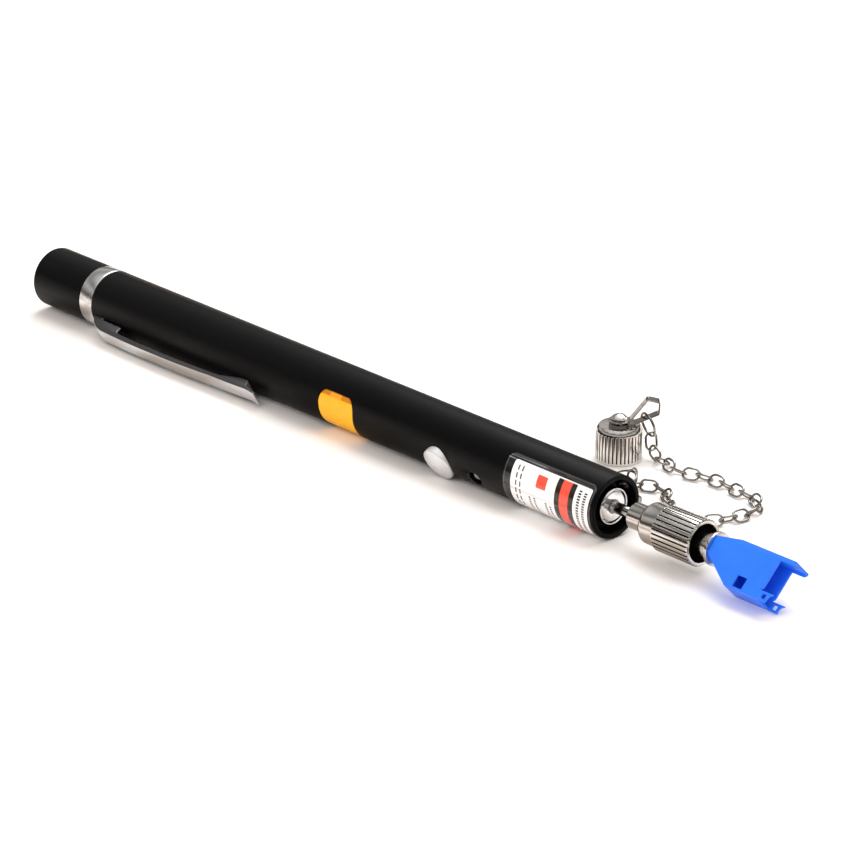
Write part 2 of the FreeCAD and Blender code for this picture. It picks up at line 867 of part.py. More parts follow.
def make_laser_module():
    body = new_body("laser_module")
    radius = size("module_diameter") / 2
    length = size("module_length")
    seat = size("lens_diameter") / 2 + size("sleeve_clearance")
    depth = length - size("lens_thickness")
    outline = [(ZERO, ZERO), (ZERO, radius), (length, radius), (length, seat), (depth, seat), (depth, ZERO)]
    revolve(body, outline)
    place(body, MODULE_START)
    return body


def make_laser_lens():
    body = new_body("laser_lens")
    radius = size("lens_diameter") / 2
    thick = size("lens_thickness")
    rise = size("lens_dish")
    outline = [(ZERO, ZERO), (ZERO, radius), (thick - rise, radius), (thick, ZERO)]
    revolve(body, outline, {2: -dome_radius(radius, rise)})
    place(body, MODULE_START + size("module_length") - thick)
    return body


def make_port_holder():
    """Black insert that centres the laser module and carries the port in its front web."""
    body = new_body("port_holder")
    outer = BORE_RADIUS - size("sleeve_clearance")
    bore = size("module_diameter") / 2 + size("sleeve_clearance")
    shank = size("port_shank_diameter") / 2 + size("sleeve_clearance")
    length = HOLDER_FRONT - HOLDER_START
    web = length - size("port_shank_length") + size("shank_set_back")
    outline = [(ZERO, bore), (ZERO, outer), (length, outer), (length, shank), (web, shank), (web, bore)]
    revolve(body, outline)
    relief = new_sketch(body, "XY_Plane", "ring_relief", size("holder_relief") - outer)
    start = length + size("holder_front") - size("anchor_setback") - size("anchor_spacing")
    over = length + OVERCUT
    add_polygon(relief, [(start, -outer), (over, -outer), (over, outer), (start, outer)])
    cut(body, relief, outer)
    place(body, HOLDER_START, roll=size("pen_roll"))
    return body


def make_port_barrel():
    """Plated port: threaded-size head with a grooved face, on a shank through the web."""
    body = new_body("port_barrel")
    head = size("port_diameter") / 2
    shank = size("port_shank_diameter") / 2
    bore = size("port_sleeve_diameter") / 2 + size("ferrule_clearance")
    back = size("port_shank_length")
    front = back + HEAD_LENGTH
    face = size("port_face_diameter") / 2
    trench = face + size("port_groove_width")
    floor = front - size("port_groove_depth")
    bevel = size("ring_bevel")
    mouth = size("ferrule_diameter") / 2 + size("ferrule_clearance")
    sleeve_end = size("shank_set_back") + size("port_sleeve_length")
    outline = [
        (ZERO, bore),
        (ZERO, shank),
        (back, shank),
        (back, head),
        (front, head),
        (front, trench),
        (floor, trench),
        (floor, face),
        (front - bevel, face),
        (front, face - bevel),
        (front, mouth + bevel),
        (front - bevel, mouth),
        (sleeve_end, mouth),
        (sleeve_end, bore),
    ]
    revolve(body, outline)
    place(body, HOLDER_FRONT - back)
    return body


def make_port_sleeve():
    body = new_body("port_sleeve")
    outer = size("port_sleeve_diameter") / 2
    inner = size("ferrule_diameter") / 2 + size("ferrule_clearance")
    length = size("port_sleeve_length")
    revolve(body, [(ZERO, inner), (ZERO, outer), (length, outer), (length, inner)])
    place(body, HOLDER_FRONT - size("port_shank_length") + size("shank_set_back"))
    return body


def make_label():
    """Printed film wrapped round the button side of the tube, with rounded corners."""
    body = new_body("label")
    inner = TUBE_RADIUS
    outer = inner + size("film_thickness")
    length = size("label_length")
    revolve(body, [(ZERO, inner), (ZERO, outer), (length, outer), (length, inner)])
    reach = TUBE_RADIUS + OVERCUT
    high = reach + size("label_corner")
    around = new_sketch(body, "XZ_Plane", "trim")
    over = length + OVERCUT
    add_polygon(around, [(-OVERCUT, -reach), (over, -reach), (over, high), (-OVERCUT, high)])
    add_rounded_box(around, (ZERO, LABEL_EDGE), (length, high - SLIVER), size("label_corner"))
    cut(body, around, reach * 2, midplane=True)
    place(body, TUBE_FRONT - size("label_setback"), roll=size("pen_roll"))
    return body


def make_adapter_ferrule():
    """Ferrule that joins the converter to the port."""
    body = new_body("adapter_ferrule")
    radius = size("ferrule_diameter") / 2
    start = PORT_FACE - size("ferrule_insertion")
    length = CORE_START + size("core_neck_length") - start
    bevel = size("tube_edge_bevel")
    outline = [
        (ZERO, ZERO),
        (ZERO, radius - bevel),
        (bevel, radius),
        (length, radius),
        (length, ZERO),
    ]
    revolve(body, outline)
    place(body, start)
    return body


def make_adapter_core():
    """Turned core: neck, stop collar, long barrel through the nut and end flange."""
    body = new_body("adapter_core")
    neck = size("core_diameter") / 2
    stop = size("core_stop_diameter") / 2
    seat = size("ferrule_diameter") / 2 + size("ferrule_clearance") / 2
    depth = size("core_neck_length")
    stop_start = depth + size("nut_back_wall") + size("nut_clearance") * 2
    stop_end = stop_start + size("core_stop_length")
    length = size("core_length")
    flange = size("core_flange_diameter") / 2
    flange_start = length - size("core_flange_length")
    bevel = size("tube_edge_bevel")
    outline = [
        (depth, ZERO),
        (depth, seat),
        (ZERO, seat),
        (ZERO, neck - bevel),
        (bevel, neck),
        (stop_start, neck),
        (stop_start, stop),
        (stop_end, stop),
        (stop_end, neck),
        (flange_start, neck),
        (flange_start, flange),
        (length, flange),
        (length, ZERO),
    ]
    revolve(body, outline)
    place(body, CORE_START)
    return body


NOTCH_SPREAD = 0.75


def flute_notch(sketch, radius, count, depth):
    """Draw one V notch on the rim of a round part, centred on the sketch's up axis."""
    half = radius * math.pi / count * NOTCH_SPREAD
    lip = radius + depth
    add_polygon(sketch, [(-half, lip), (ZERO, radius - depth), (half, lip)])


def make_adapter_nut():
    """Coupling nut: smooth round shoulder and straight-fluted, thin-walled skirt."""
    body = new_body("adapter_nut")
    bore = size("core_diameter") / 2 + size("nut_clearance")
    shoulder = size("nut_shoulder_diameter") / 2
    radius = size("nut_diameter") / 2
    shoulder_length = size("nut_shoulder_length")
    length = shoulder_length + size("nut_knurl_length")
    cavity = size("nut_bore") / 2
    wall = size("nut_back_wall")
    bevel = size("tube_edge_bevel")
    outline = [
        (ZERO, bore),
        (ZERO, shoulder),
        (shoulder_length, shoulder),
        (shoulder_length + bevel, radius),
        (length - bevel, radius),
        (length, radius - bevel),
        (length, cavity),
        (wall, cavity),
        (wall, bore),
    ]
    revolve(body, outline)
    round_edges(body, size("nut_shoulder_round"), is_ring_at(ZERO, shoulder))
    notch = new_sketch(body, "YZ_Plane", "flute", shoulder_length + bevel * 2)
    flute_notch(notch, radius, size("nut_flutes"), size("flute_depth"))
    flute = cut(body, notch, length, backwards=True)
    repeat_round(body, flute, "X_Axis", size("nut_flutes"))
    place(body, NUT_START)
    return body


def make_socket_housing():
    """Moulded small-form socket: tapered hollow shell with catch windows, tab and claws."""
    body = new_body("socket_housing")
    length = size("socket_length")
    top, latch = size("socket_top"), size("socket_latch")
    tip = length + size("socket_tab_length")
    claw = latch - size("socket_claw_depth")
    wall = size("socket_wall")
    back = size("socket_back_half")
    claw_tip = tip - wall
    side = new_sketch(body, "XZ_Plane", "side")
    outline = [
        (ZERO, -back),
        (size("socket_taper_top"), -top),
        (tip, -top),
        (tip, wall - top),
        (tip - wall, wall * 2 - top),
        (length + wall * 3, wall * 2 - top),
        (length, wall * 2 - top),
        (length, claw - wall),
        (length - wall, claw),
        (length + wall, claw),
        (claw_tip, claw),
        (claw_tip - wall * 1.5, claw + wall),
        (claw_tip - wall * 2, latch - wall),
        (claw_tip - wall * 2, latch),
        (size("socket_taper_latch"), latch),
        (ZERO, back),
    ]
    add_polygon(side, outline)
    pad(body, side, size("socket_thickness"), midplane=True)
    inner = size("socket_thickness") - wall * 2
    floor = size("socket_floor")
    cavity = new_sketch(body, "XZ_Plane", "cavity")
    beyond = tip + OVERCUT
    hollow = [
        (floor, wall - top),
        (beyond, wall - top),
        (beyond, latch + OVERCUT),
        (length, latch + OVERCUT),
        (length, latch - wall),
        (size("socket_taper_latch") + wall, latch - wall),
        (floor, back + wall * 2),
    ]
    add_polygon(cavity, hollow)
    cut(body, cavity, inner, midplane=True)
    window = size("catch_window")
    windows = new_sketch(body, "XZ_Plane", "catch_windows")
    low = latch - window - wall
    start = size("catch_place")
    end = start + window
    add_polygon(windows, [(start, low), (end, low), (end, latch - wall), (start, latch - wall)])
    near = length + wall
    far = claw_tip - wall * 3
    low = claw + wall
    add_polygon(windows, [(near, low), (far, low), (far, latch - wall), (near, latch - wall)])
    cut(body, windows, size("socket_thickness") + OVERCUT, midplane=True)
    boss = new_sketch(body, "YZ_Plane", "boss", floor - wall)
    add_circle(boss, ZERO, ZERO, size("align_boss_diameter") / 2)
    pad(body, boss, size("align_sleeve_length") + wall)
    bore = new_sketch(body, "YZ_Plane", "bore", floor)
    add_circle(bore, ZERO, ZERO, size("align_sleeve_diameter") / 2 + size("ferrule_clearance") / 2)
    cut(body, bore, size("align_sleeve_length") + OVERCUT, backwards=True)
    place(body, SOCKET_START, roll=size("socket_roll"))
    return body


def make_socket_sleeve():
    """Alignment sleeve in the socket's boss."""
    body = new_body("socket_sleeve")
    outer = size("align_sleeve_diameter") / 2
    inner = size("fit_bore") / 2
    length = size("align_sleeve_length")
    revolve(body, [(ZERO, inner), (ZERO, outer), (length, outer), (length, inner)])
    place(body, SLEEVE_MOUTH - length)
    return body


CAP_SPOT = {
    "along": DUST_CAP_ALONG,
    "across": size("dust_cap_across"),
    "height": FLOOR,
}
CAP_TOP = FLOOR + size("dust_cap_height")
NECK_RISE = size("strap_thickness") * 2 + size("strap_gap") + size("strap_play") * 2


def make_dust_cap():
    """Fluted screw cap standing on its mouth, with a smooth stepped crown."""
    body = new_body("dust_cap")
    bore = size("port_diameter") / 2 + size("dust_cap_bore_clearance")
    radius = size("dust_cap_diameter") / 2
    height = size("dust_cap_height")
    ledge = height - size("dust_cap_ledge")
    inset = size("dust_cap_ledge_inset")
    neck = size("rivet_neck_diameter") / 2
    outline = [
        (bore, ZERO),
        (radius, ZERO),
        (radius, ledge),
        (radius - inset, height - inset),
        (radius - inset * 2, height),
        (neck, height),
        (neck, height - size("dust_cap_top")),
        (bore, height - size("dust_cap_top")),
    ]
    turn_upright(body, outline)
    notch = new_sketch(body, "XY_Plane", "flute", size("dust_cap_base_band"))
    flute_notch(notch, radius, size("dust_cap_flutes"), size("flute_depth"))
    bands = size("dust_cap_base_band") + size("dust_cap_crown_band")
    flute = cut(body, notch, ledge - bands, backwards=True)
    repeat_round(body, flute, "Z_Axis", size("dust_cap_flutes"))
    place(body, **CAP_SPOT)
    return body


def make_cap_rivet():
    """Domed rivet through the cap's crown; its neck carries the strap."""
    body = new_body("cap_rivet")
    neck = size("rivet_neck_diameter") / 2
    head = size("rivet_head_diameter") / 2
    foot = size("rivet_foot_diameter") / 2
    under = -size("dust_cap_top")
    rise = size("rivet_head_height")
    dome = size("rivet_dome")
    outline = [
        (ZERO, under - size("rivet_foot_height")),
        (foot, under - size("rivet_foot_height")),
        (foot, under),
        (neck, under),
        (neck, NECK_RISE),
        (head, NECK_RISE),
        (head, NECK_RISE + rise - dome),
        (ZERO, NECK_RISE + rise),
    ]
    turn_upright(body, outline, {6: dome_radius(head, dome)})
    place(body, DUST_CAP_ALONG, size("dust_cap_across"), CAP_TOP)
    return body


def make_swivel_strap():
    """Folded strip: two eyes on the rivet's neck joined by a raised loop for the jump ring."""
    strap = DOC.addObject("Part::Feature", "swivel_strap")
    strap.Label = "swivel_strap"
    thick = size("strap_thickness").number
    width = size("strap_width").number
    low = size("strap_play").number + thick / 2
    high = low + thick + size("strap_gap").number
    eye = size("strap_eye_diameter").number / 2
    reach = size("strap_reach").number
    rise = size("strap_rise").number
    fold_back = size("strap_fold").number
    corners = [
        FreeCAD.Vector(0, 0, high),
        FreeCAD.Vector(eye, 0, high),
        FreeCAD.Vector(reach - fold_back, 0, rise),
        FreeCAD.Vector(reach, 0, rise - width / 4),
        FreeCAD.Vector(reach - thick / 2, 0, rise - size("strap_tuck").number),
        FreeCAD.Vector(eye + width / 4, 0, low),
        FreeCAD.Vector(0, 0, low),
    ]
    centre_line = rounded_wire(corners, width / 4)
    flat = Part.Face(centre_line.makeOffset2D(thick / 2, 2, False, False, False))
    strip = flat.extrude(FreeCAD.Vector(0, width, 0))
    strip.translate(FreeCAD.Vector(0, -width / 2, 0))
    pieces = [strip]
    for level in (low, high):
        base = FreeCAD.Vector(0, 0, level - thick / 2)
        pieces.append(Part.makeCylinder(eye, thick, base, AXIS_Z))
    solid = pieces[0].fuse(pieces[1:])
    hole = size("rivet_neck_diameter").number / 2 + size("strap_play").number
    bore = Part.makeCylinder(hole, NECK_RISE.number + thick, FreeCAD.Vector(0, 0, -thick), AXIS_Z)
    strap.Shape = solid.cut(bore).removeSplitter()
    place(strap, DUST_CAP_ALONG, size("dust_cap_across"), CAP_TOP, size("strap_angle"), AXIS_Z)
    return strap


STRAP_HEADING = FreeCAD.Rotation(AXIS_Z, size("strap_angle").number)
RING_MEAN = (size("jump_ring_diameter") - size("ring_wire")) / 2


def cap_ring_frame():
    """Return the centre and rotation of the jump ring that hangs in the strap."""
    tilt = FreeCAD.Rotation(AXIS_Y, size("cap_ring_tilt").number)
    turn = FreeCAD.Rotation(AXIS_Z, size("cap_ring_turn").number)
    upright = FreeCAD.Rotation(AXIS_Y, HALF_TURN / 2)
    rotation = STRAP_HEADING * tilt * turn * upright
    local = FreeCAD.Vector(size("cap_ring_reach").number, 0, size("cap_ring_drop").number)
    spot = FreeCAD.Vector(DUST_CAP_ALONG.number, size("dust_cap_across").number, CAP_TOP.number)
    spot = spot + STRAP_HEADING.multVec(local)
    low_point = STRAP_HEADING.multVec(tilt.multVec(FreeCAD.Vector(0, 0, -RING_MEAN.number)))
    return spot, rotation, spot + low_point


def body_ring_frame():
    """Return the centre and rotation of the jump ring threaded through the tube's wall."""
    away = math.radians(size("pen_roll").number - HALF_TURN / 2)
    lean = away - math.radians(size("anchor_lean").number)
    wall = (TUBE_RADIUS - size("tube_wall") / 2).number
    radius = RING_MEAN.number
    half = size("anchor_spacing").number / 2
    lift = math.sqrt(radius * radius - half * half)
    along = (TUBE_FRONT - size("anchor_setback")).number
    out = FreeCAD.Vector(0, math.cos(lean), math.sin(lean))
    centre = FreeCAD.Vector(along, wall * math.cos(away), wall * math.sin(away)) + out * lift
    rotation = FreeCAD.Rotation(AXIS_X, math.degrees(lean))
    return centre, rotation, centre + out * radius


def make_jump_ring(name, frame):
    ring = DOC.addObject("Part::Feature", name)
    ring.Label = name
    path = []
    for i in range(JUMP_RING_RUNS):
        angle = 2 * math.pi * i / JUMP_RING_RUNS
        path.append(FreeCAD.Vector(math.cos(angle), math.sin(angle), 0) * RING_MEAN.number)
    ring.Shape = wire_solid(path, size("ring_wire").number / 2)
    centre, rotation, _ = frame
    ring.Placement = FreeCAD.Placement(centre - AXIS_X * ORIGIN_SHIFT.number, rotation)
    return ring


# The chain's lie: steps below the cap's ring, places on the floor (along from the tube's mouth,
# across), and the climb to the tube's ring (along, across and the share of the height still to climb).
CHAIN_DROP = [(0.2, -0.1, -1.7), (1.2, -0.5, -3.3)]
CHAIN_CLIMB = [(-0.8, 1.5, 0.8), (0.0, 0.0, 0.3)]
CHAIN_LAID = [
    (-22.0, 35.2),
    (-18.4, 33.9),
    (-13.7, 33.4),
    (-8.5, 34.8),
    (-3.0, 35.2),
    (3.0, 34.6),
    (8.2, 33.8),
    (11.2, 30.6),
    (11.6, 26.2),
    (10.4, 21.6),
    (7.2, 17.4),
    (2.4, 16.2),
    (-2.2, 18.2),
    (-6.2, 21.6),
    (-10.6, 23.4),
    (-14.6, 21.4),
    (-15.4, 17.2),
    (-12.8, 14.0),
    (-8.8, 13.0),
]


def chain_route():
    """Lay the chain: down from the cap's ring, round a loop on the floor and up to the tube's ring."""
    turned = math.sqrt(0.5)
    rest = (size("link_width") - size("link_wire")).number / 2 * turned + size("link_wire").number / 2
    floor = FLOOR.number + rest + size("link_lift").number
    top = cap_ring_frame()[2]
    end = body_ring_frame()[2]
    points = [top]
    points += [top + FreeCAD.Vector(*step) for step in CHAIN_DROP]
    mouth = TUBE_FRONT.number
    points += [FreeCAD.Vector(mouth + along, across, floor) for along, across in CHAIN_LAID]
    fall = floor - end.z
    points += [end + FreeCAD.Vector(along, across, fall * share) for along, across, share in CHAIN_CLIMB]
    points.append(end)
    curve = Part.BSplineCurve()
    curve.interpolate(points)
    return curve


def make_link():
    """One oval link about the origin, long along X, its flat side facing Z."""
    wire = size("link_wire").number / 2
    bend = size("link_width").number / 2 - wire
    straight = size("link_length").number / 2 - wire - bend
    path = []
    for end in (1, -1):
        for i in range(LINK_BEND_RUNS):
            angle = math.pi * ((i + 0.5) / LINK_BEND_RUNS - 0.5)
            path.append(FreeCAD.Vector(straight + bend * math.cos(angle), bend * math.sin(angle), 0) * end)
    return wire_solid(path, wire)


def fold(angle):
    """Bring an angle between two lines into a quarter turn either way."""
    return (angle + HALF_TURN / 2) % HALF_TURN - HALF_TURN / 2


def link_frames(curve, spots):
    """Return (tangent, upward) pairs carried along the route without twist from its middle."""
    middle = len(spots) // 2
    frames = {}
    for order in (range(middle, len(spots)), range(middle, -1, -1)):
        reference = AXIS_Z
        for i in order:
            along = FreeCAD.Vector(curve.tangent(spots[i])[0])
            reference = (reference - along * reference.dot(along)).normalize()
            frames[i] = (along, FreeCAD.Vector(reference))
    return [frames[i] for i in range(len(spots))]


def link_turn(frame, quarter):
    """Rotation that lays a link along the frame's tangent, rolled by a quarter of a half turn."""
    along, reference = frame
    upright = FreeCAD.Rotation(along, reference.cross(along), reference, "XYZ")
    return upright * FreeCAD.Rotation(AXIS_X, quarter)


def end_twist(frame, turn, hook):
    """Twist about the tangent that squares a link to the wire direction it hangs on."""
    along = frame[0]
    wanted = (hook - along * hook.dot(along)).normalize()
    normal = turn.multVec(AXIS_Z)
    angle = math.degrees(math.atan2(along.dot(normal.cross(wanted)), normal.dot(wanted)))
    return fold(angle)


def make_chain():
    """Identical links along the route, each turned a quarter from the one before."""
    chain = DOC.addObject("Part::Feature", "chain_links")
    chain.Label = "chain_links"
    curve = chain_route()
    wire, hook = size("link_wire").number, size("ring_wire").number
    pitch = size("link_length").number - wire * 2 - size("link_slack").number
    reach = size("link_length").number / 2 - wire / 2
    inset = reach - (wire + hook) / 2 - size("link_slack").number / 2
    run = curve.length() - inset * 2
    count = max(2, round(run / pitch) + 1)
    step = run / (count - 1)
    spots = [curve.parameterAtDistance(inset + step * i, curve.FirstParameter) for i in range(count)]
    frames = link_frames(curve, spots)
    turns = []
    for i, frame in enumerate(frames):
        turns.append(link_turn(frame, HALF_TURN / 4 if i % 2 else -HALF_TURN / 4))
    _, cap_turn, _ = cap_ring_frame()
    cap_hook = cap_turn.multVec(AXIS_Y)
    first_twist = end_twist(frames[0], turns[0], cap_hook)
    last_twist = end_twist(frames[-1], turns[-1], AXIS_X)
    blend = int(size("twist_links").number)
    master = make_link()
    links = []
    for i in range(count):
        head = max(0.0, 1 - i / blend) * first_twist
        tail = max(0.0, 1 - (count - 1 - i) / blend) * last_twist
        link = master.copy()
        spot = curve.value(spots[i]) - AXIS_X * ORIGIN_SHIFT.number
        twist = FreeCAD.Rotation(frames[i][0], head + tail)
        link.Placement = FreeCAD.Placement(spot, twist * turns[i])
        sunk = max(0.0, FLOOR.number - link.BoundBox.ZMin)
        link.translate(FreeCAD.Vector(0, 0, sunk))
        links.append(link)
    chain.Shape = Part.makeCompound(links)
    return chain


def build():
    parts = [
        make_tail_cap(),
        make_tail_ring(),
        make_body_tube(),
        make_window_sleeve(),
        make_pocket_clip(),
        make_push_button(),
        make_button_switch(),
        make_indicator_led(),
        make_circuit_board(),
        *make_cells(),
        make_front_contact(),
        make_tail_spring(),
        make_laser_module(),
        make_laser_lens(),
        make_port_holder(),
        make_port_barrel(),
        make_port_sleeve(),
        make_label(),
        make_adapter_ferrule(),
        make_adapter_core(),
        make_adapter_nut(),
        make_socket_housing(),
        make_socket_sleeve(),
        make_dust_cap(),
        make_cap_rivet(),
        make_swivel_strap(),
        make_jump_ring("cap_jump_ring", cap_ring_frame()),
        make_jump_ring("body_jump_ring", body_ring_frame()),
        make_chain(),
    ]
    DOC.recompute()
    return parts


def check(parts):
    """Stop on any failed object or broken shape before anything is written."""
    for obj in DOC.Objects:
        if "Invalid" in obj.State or "Error" in obj.State:
            raise RuntimeError(f"{obj.Name} did not build: {obj.State}")
    for obj in parts:
        if obj.Shape.isNull() or not obj.Shape.isValid() or not obj.Shape.Solids:
            raise RuntimeError(f"{obj.Label} has no valid solid")


def export(parts):
    os.makedirs("parts", exist_ok=True)
    for obj in parts:
        obj.Shape.exportStep(f"parts/{obj.Label}.step")


PARTS = build()
check(PARTS)
export(PARTS)
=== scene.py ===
"""Pen-type visual fault locator: fine pieces, finishes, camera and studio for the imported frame."""
import json
import logging
import math
from collections.abc import Callable
from dataclasses import dataclass, replace
from enum import Enum

import bpy
import numpy as np
from mathutils import Matrix, Vector


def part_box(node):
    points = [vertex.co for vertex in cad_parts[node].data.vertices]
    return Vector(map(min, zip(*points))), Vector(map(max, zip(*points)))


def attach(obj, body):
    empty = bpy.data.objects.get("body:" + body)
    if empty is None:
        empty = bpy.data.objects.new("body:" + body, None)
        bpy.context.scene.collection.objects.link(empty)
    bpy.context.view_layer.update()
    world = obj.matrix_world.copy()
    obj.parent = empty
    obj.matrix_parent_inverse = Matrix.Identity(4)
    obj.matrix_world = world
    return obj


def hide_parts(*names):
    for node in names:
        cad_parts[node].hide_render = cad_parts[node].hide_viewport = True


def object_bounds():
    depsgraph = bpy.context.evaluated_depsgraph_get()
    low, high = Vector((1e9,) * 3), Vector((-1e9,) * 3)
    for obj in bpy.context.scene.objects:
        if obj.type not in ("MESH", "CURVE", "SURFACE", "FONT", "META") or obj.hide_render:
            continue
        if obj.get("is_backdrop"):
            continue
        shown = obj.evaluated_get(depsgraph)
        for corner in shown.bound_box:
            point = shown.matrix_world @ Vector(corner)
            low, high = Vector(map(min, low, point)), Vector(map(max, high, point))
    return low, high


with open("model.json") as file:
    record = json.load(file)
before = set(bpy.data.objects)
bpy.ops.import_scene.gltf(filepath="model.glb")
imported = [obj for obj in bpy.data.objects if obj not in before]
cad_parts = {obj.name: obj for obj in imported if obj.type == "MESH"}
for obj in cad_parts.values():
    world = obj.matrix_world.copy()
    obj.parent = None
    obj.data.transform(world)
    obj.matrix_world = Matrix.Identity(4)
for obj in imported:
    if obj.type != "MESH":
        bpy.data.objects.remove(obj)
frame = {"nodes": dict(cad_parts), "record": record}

LOG = logging.getLogger("fault_locator")
MM = 0.001
Point = tuple[float, float, float]

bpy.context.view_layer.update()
JOINTS = {joint["name"]: joint for joint in frame["record"]["behaviour"]["joints"]}
# The button's line out of the pen, and the roll that brings it upright.
FACE_OUT = -Vector(JOINTS["button_press"]["axis"]).normalized()
PEN_ROLL = math.atan2(-FACE_OUT.y, FACE_OUT.z)

# Limits for cleaning and shading copies of the CAD meshes.
MERGE_GAP = 0.0005 * MM
FLAT_DEG = 0.3
SHARP_DEG = 35.0
SMOOTH_DEG = 32.0
EDGE_STEPS = 3

# A flute's floor lies between these depths under its lands; its faces look away from the axis.
FLUTE_DEEP = 0.36 * MM
FLUTE_SHALLOW = 0.05 * MM
FLUTE_TILT = 0.3

# Socket numbers of a Mix node that mixes colours.
MIX_LOW, MIX_HIGH, MIX_COLOR = 6, 7, 2

# Noise in every finish, and the spans of it that turn into gloss and tone.
NOISE_ROUGHNESS = 0.55
BROAD_DETAIL, FINE_DETAIL = 3.0, 2.0
GLOSS_SPAN = (0.3, 0.7)
TONE_SPAN = (0.35, 0.7)
ROUGHNESS_LEAST = 0.02
# Added to a printed field's corner radius, in millimetres, so that square corners work too.
CORNER_LEAST = 0.001


class Slot(Enum):
    """Material slots of the record."""

    ANODISED_BLACK = "anodised_black"
    SATIN_SILVER = "satin_silver"
    CLIP_STEEL = "clip_steel"
    NICKEL = "nickel"
    AMBER = "amber"
    BLACK_PLASTIC = "black_plastic"
    BOARD_GREEN = "board_green"
    LAMP_CLEAR = "lamp_clear"
    CELL_JACKET = "cell_jacket"
    SPRING_STEEL = "spring_steel"
    BRASS = "brass"
    LENS_GLASS = "lens_glass"
    LABEL_FILM = "label_film"
    CERAMIC = "ceramic"
    BLUE_PLASTIC = "blue_plastic"


class Lay(Enum):
    """Which way the fine marks of a surface run, as shares of their density along X, Y and Z."""

    EVEN = (1.0, 1.0, 1.0)
    TURNED = (1.0, 0.03, 0.03)
    DRAWN = (0.03, 1.0, 1.0)


def linear(code: str) -> tuple[float, float, float, float]:
    """Turn an sRGB hex colour into linear light.

    Args:
        code: The colour as "#RRGGBB".

    Returns:
        Red, green, blue and an alpha of one.
    """
    parts = [int(code[i : i + 2], 16) / 255 for i in (1, 3, 5)]
    values = [c / 12.92 if c <= 0.04045 else ((c + 0.055) / 1.055) ** 2.4 for c in parts]
    return (values[0], values[1], values[2], 1.0)


def add_node(
    tree: bpy.types.NodeTree, kind: str, inputs: dict | None = None, **settings: object
) -> bpy.types.Node:
    """Add a node with its settings, constants and incoming links.

    Args:
        tree: The node tree to add to.
        kind: Blender's name for the node type.
        inputs: Socket name or number to a constant, or to the output socket that feeds it.
        **settings: Attributes to set on the node.

    Returns:
        The new node.
    """
    node = tree.nodes.new(kind)
    for key, value in settings.items():
        setattr(node, key, value)
    for key, value in (inputs or {}).items():
        if isinstance(value, bpy.types.NodeSocket):
            tree.links.new(value, node.inputs[key])
        else:
            node.inputs[key].default_value = value
    return node


@dataclass(frozen=True)
class Finish:
    """A surface: what it is made of, how it was worked and what that gives the eye.

    Sizes of marks are in millimetres on the real surface.
    """

    name: str
    slot: Slot
    color: str
    roughness: float
    metallic: float = 0.0
    specular: float = 0.5
    coat: float = 0.0
    coat_roughness: float = 0.05
    subsurface: float = 0.0
    transmission: float = 0.0
    lay: Lay = Lay.EVEN
    grain_mm: float = 0.3
    grain_depth_mm: float = 0.004
    mottle_mm: float = 6.0
    mottle: float = 0.05
    shade: str = ""
    shade_share: float = 0.0

    def start(self) -> tuple[bpy.types.Material, bpy.types.Node]:
        """Make the material with the shader's constant values.

        Returns:
            The material and its shader node.
        """
        material = bpy.data.materials.new(self.name)
        material.use_nodes = True
        material.diffuse_color = linear(self.color)
        shader = material.node_tree.nodes["Principled BSDF"]
        constants = {
            "Base Color": linear(self.color),
            "Roughness": self.roughness,
            "Metallic": self.metallic,
            "Specular IOR Level": self.specular,
            "Coat Weight": self.coat,
            "Coat Roughness": self.coat_roughness,
            "Subsurface Weight": self.subsurface,
            "Subsurface Scale": MM,
            "Transmission Weight": self.transmission,
        }
        for socket, value in constants.items():
            shader.inputs[socket].default_value = value
        return material, shader

    def marks(self, tree: bpy.types.NodeTree, size_mm: float, detail: float) -> bpy.types.NodeSocket:
        """Add noise whose cells have a real size, drawn out along the finish's lay.

        Args:
            tree: The material's node tree.
            size_mm: Size of one mark.
            detail: Number of finer layers.

        Returns:
            The noise's value socket.
        """
        spot = add_node(tree, "ShaderNodeTexCoord")
        scale = [axis / (size_mm * MM) for axis in self.lay.value]
        laid = add_node(tree, "ShaderNodeMapping", {"Vector": spot.outputs["Object"], "Scale": scale})
        noise = add_node(
            tree,
            "ShaderNodeTexNoise",
            {"Vector": laid.outputs["Vector"], "Scale": 1.0, "Detail": detail, "Roughness": NOISE_ROUGHNESS},
        )
        return noise.outputs["Fac"]

    def wear(self, tree: bpy.types.NodeTree, shader: bpy.types.Node) -> None:
        """Add uneven gloss, fine relief and an uneven tone.

        Args:
            tree: The material's node tree.
            shader: Its shader node.
        """
        broad = self.marks(tree, self.mottle_mm, BROAD_DETAIL)
        gloss = add_node(
            tree,
            "ShaderNodeMapRange",
            {
                "Value": broad,
                "From Min": GLOSS_SPAN[0],
                "From Max": GLOSS_SPAN[1],
                "To Min": max(ROUGHNESS_LEAST, self.roughness - self.mottle),
                "To Max": self.roughness + self.mottle,
            },
        )
        tree.links.new(gloss.outputs["Result"], shader.inputs["Roughness"])
        fine = self.marks(tree, self.grain_mm, FINE_DETAIL)
        depth = self.grain_depth_mm * MM
        relief = add_node(tree, "ShaderNodeBump", {"Height": fine, "Strength": 1.0, "Distance": depth})
        tree.links.new(relief.outputs["Normal"], shader.inputs["Normal"])
        if self.shade_share > 0:
            span = {"From Min": TONE_SPAN[0], "From Max": TONE_SPAN[1], "To Max": self.shade_share}
            amount = add_node(tree, "ShaderNodeMapRange", {"Value": broad, **span})
            colors = {MIX_LOW: linear(self.color), MIX_HIGH: linear(self.shade)}
            tone = add_node(tree, "ShaderNodeMix", {0: amount.outputs["Result"], **colors}, data_type="RGBA")
            tree.links.new(tone.outputs[MIX_COLOR], shader.inputs["Base Color"])

    def material(self) -> bpy.types.Material:
        """Build the finished material.

        Returns:
            The material.
        """
        material, shader = self.start()
        self.wear(material.node_tree, shader)
        return material


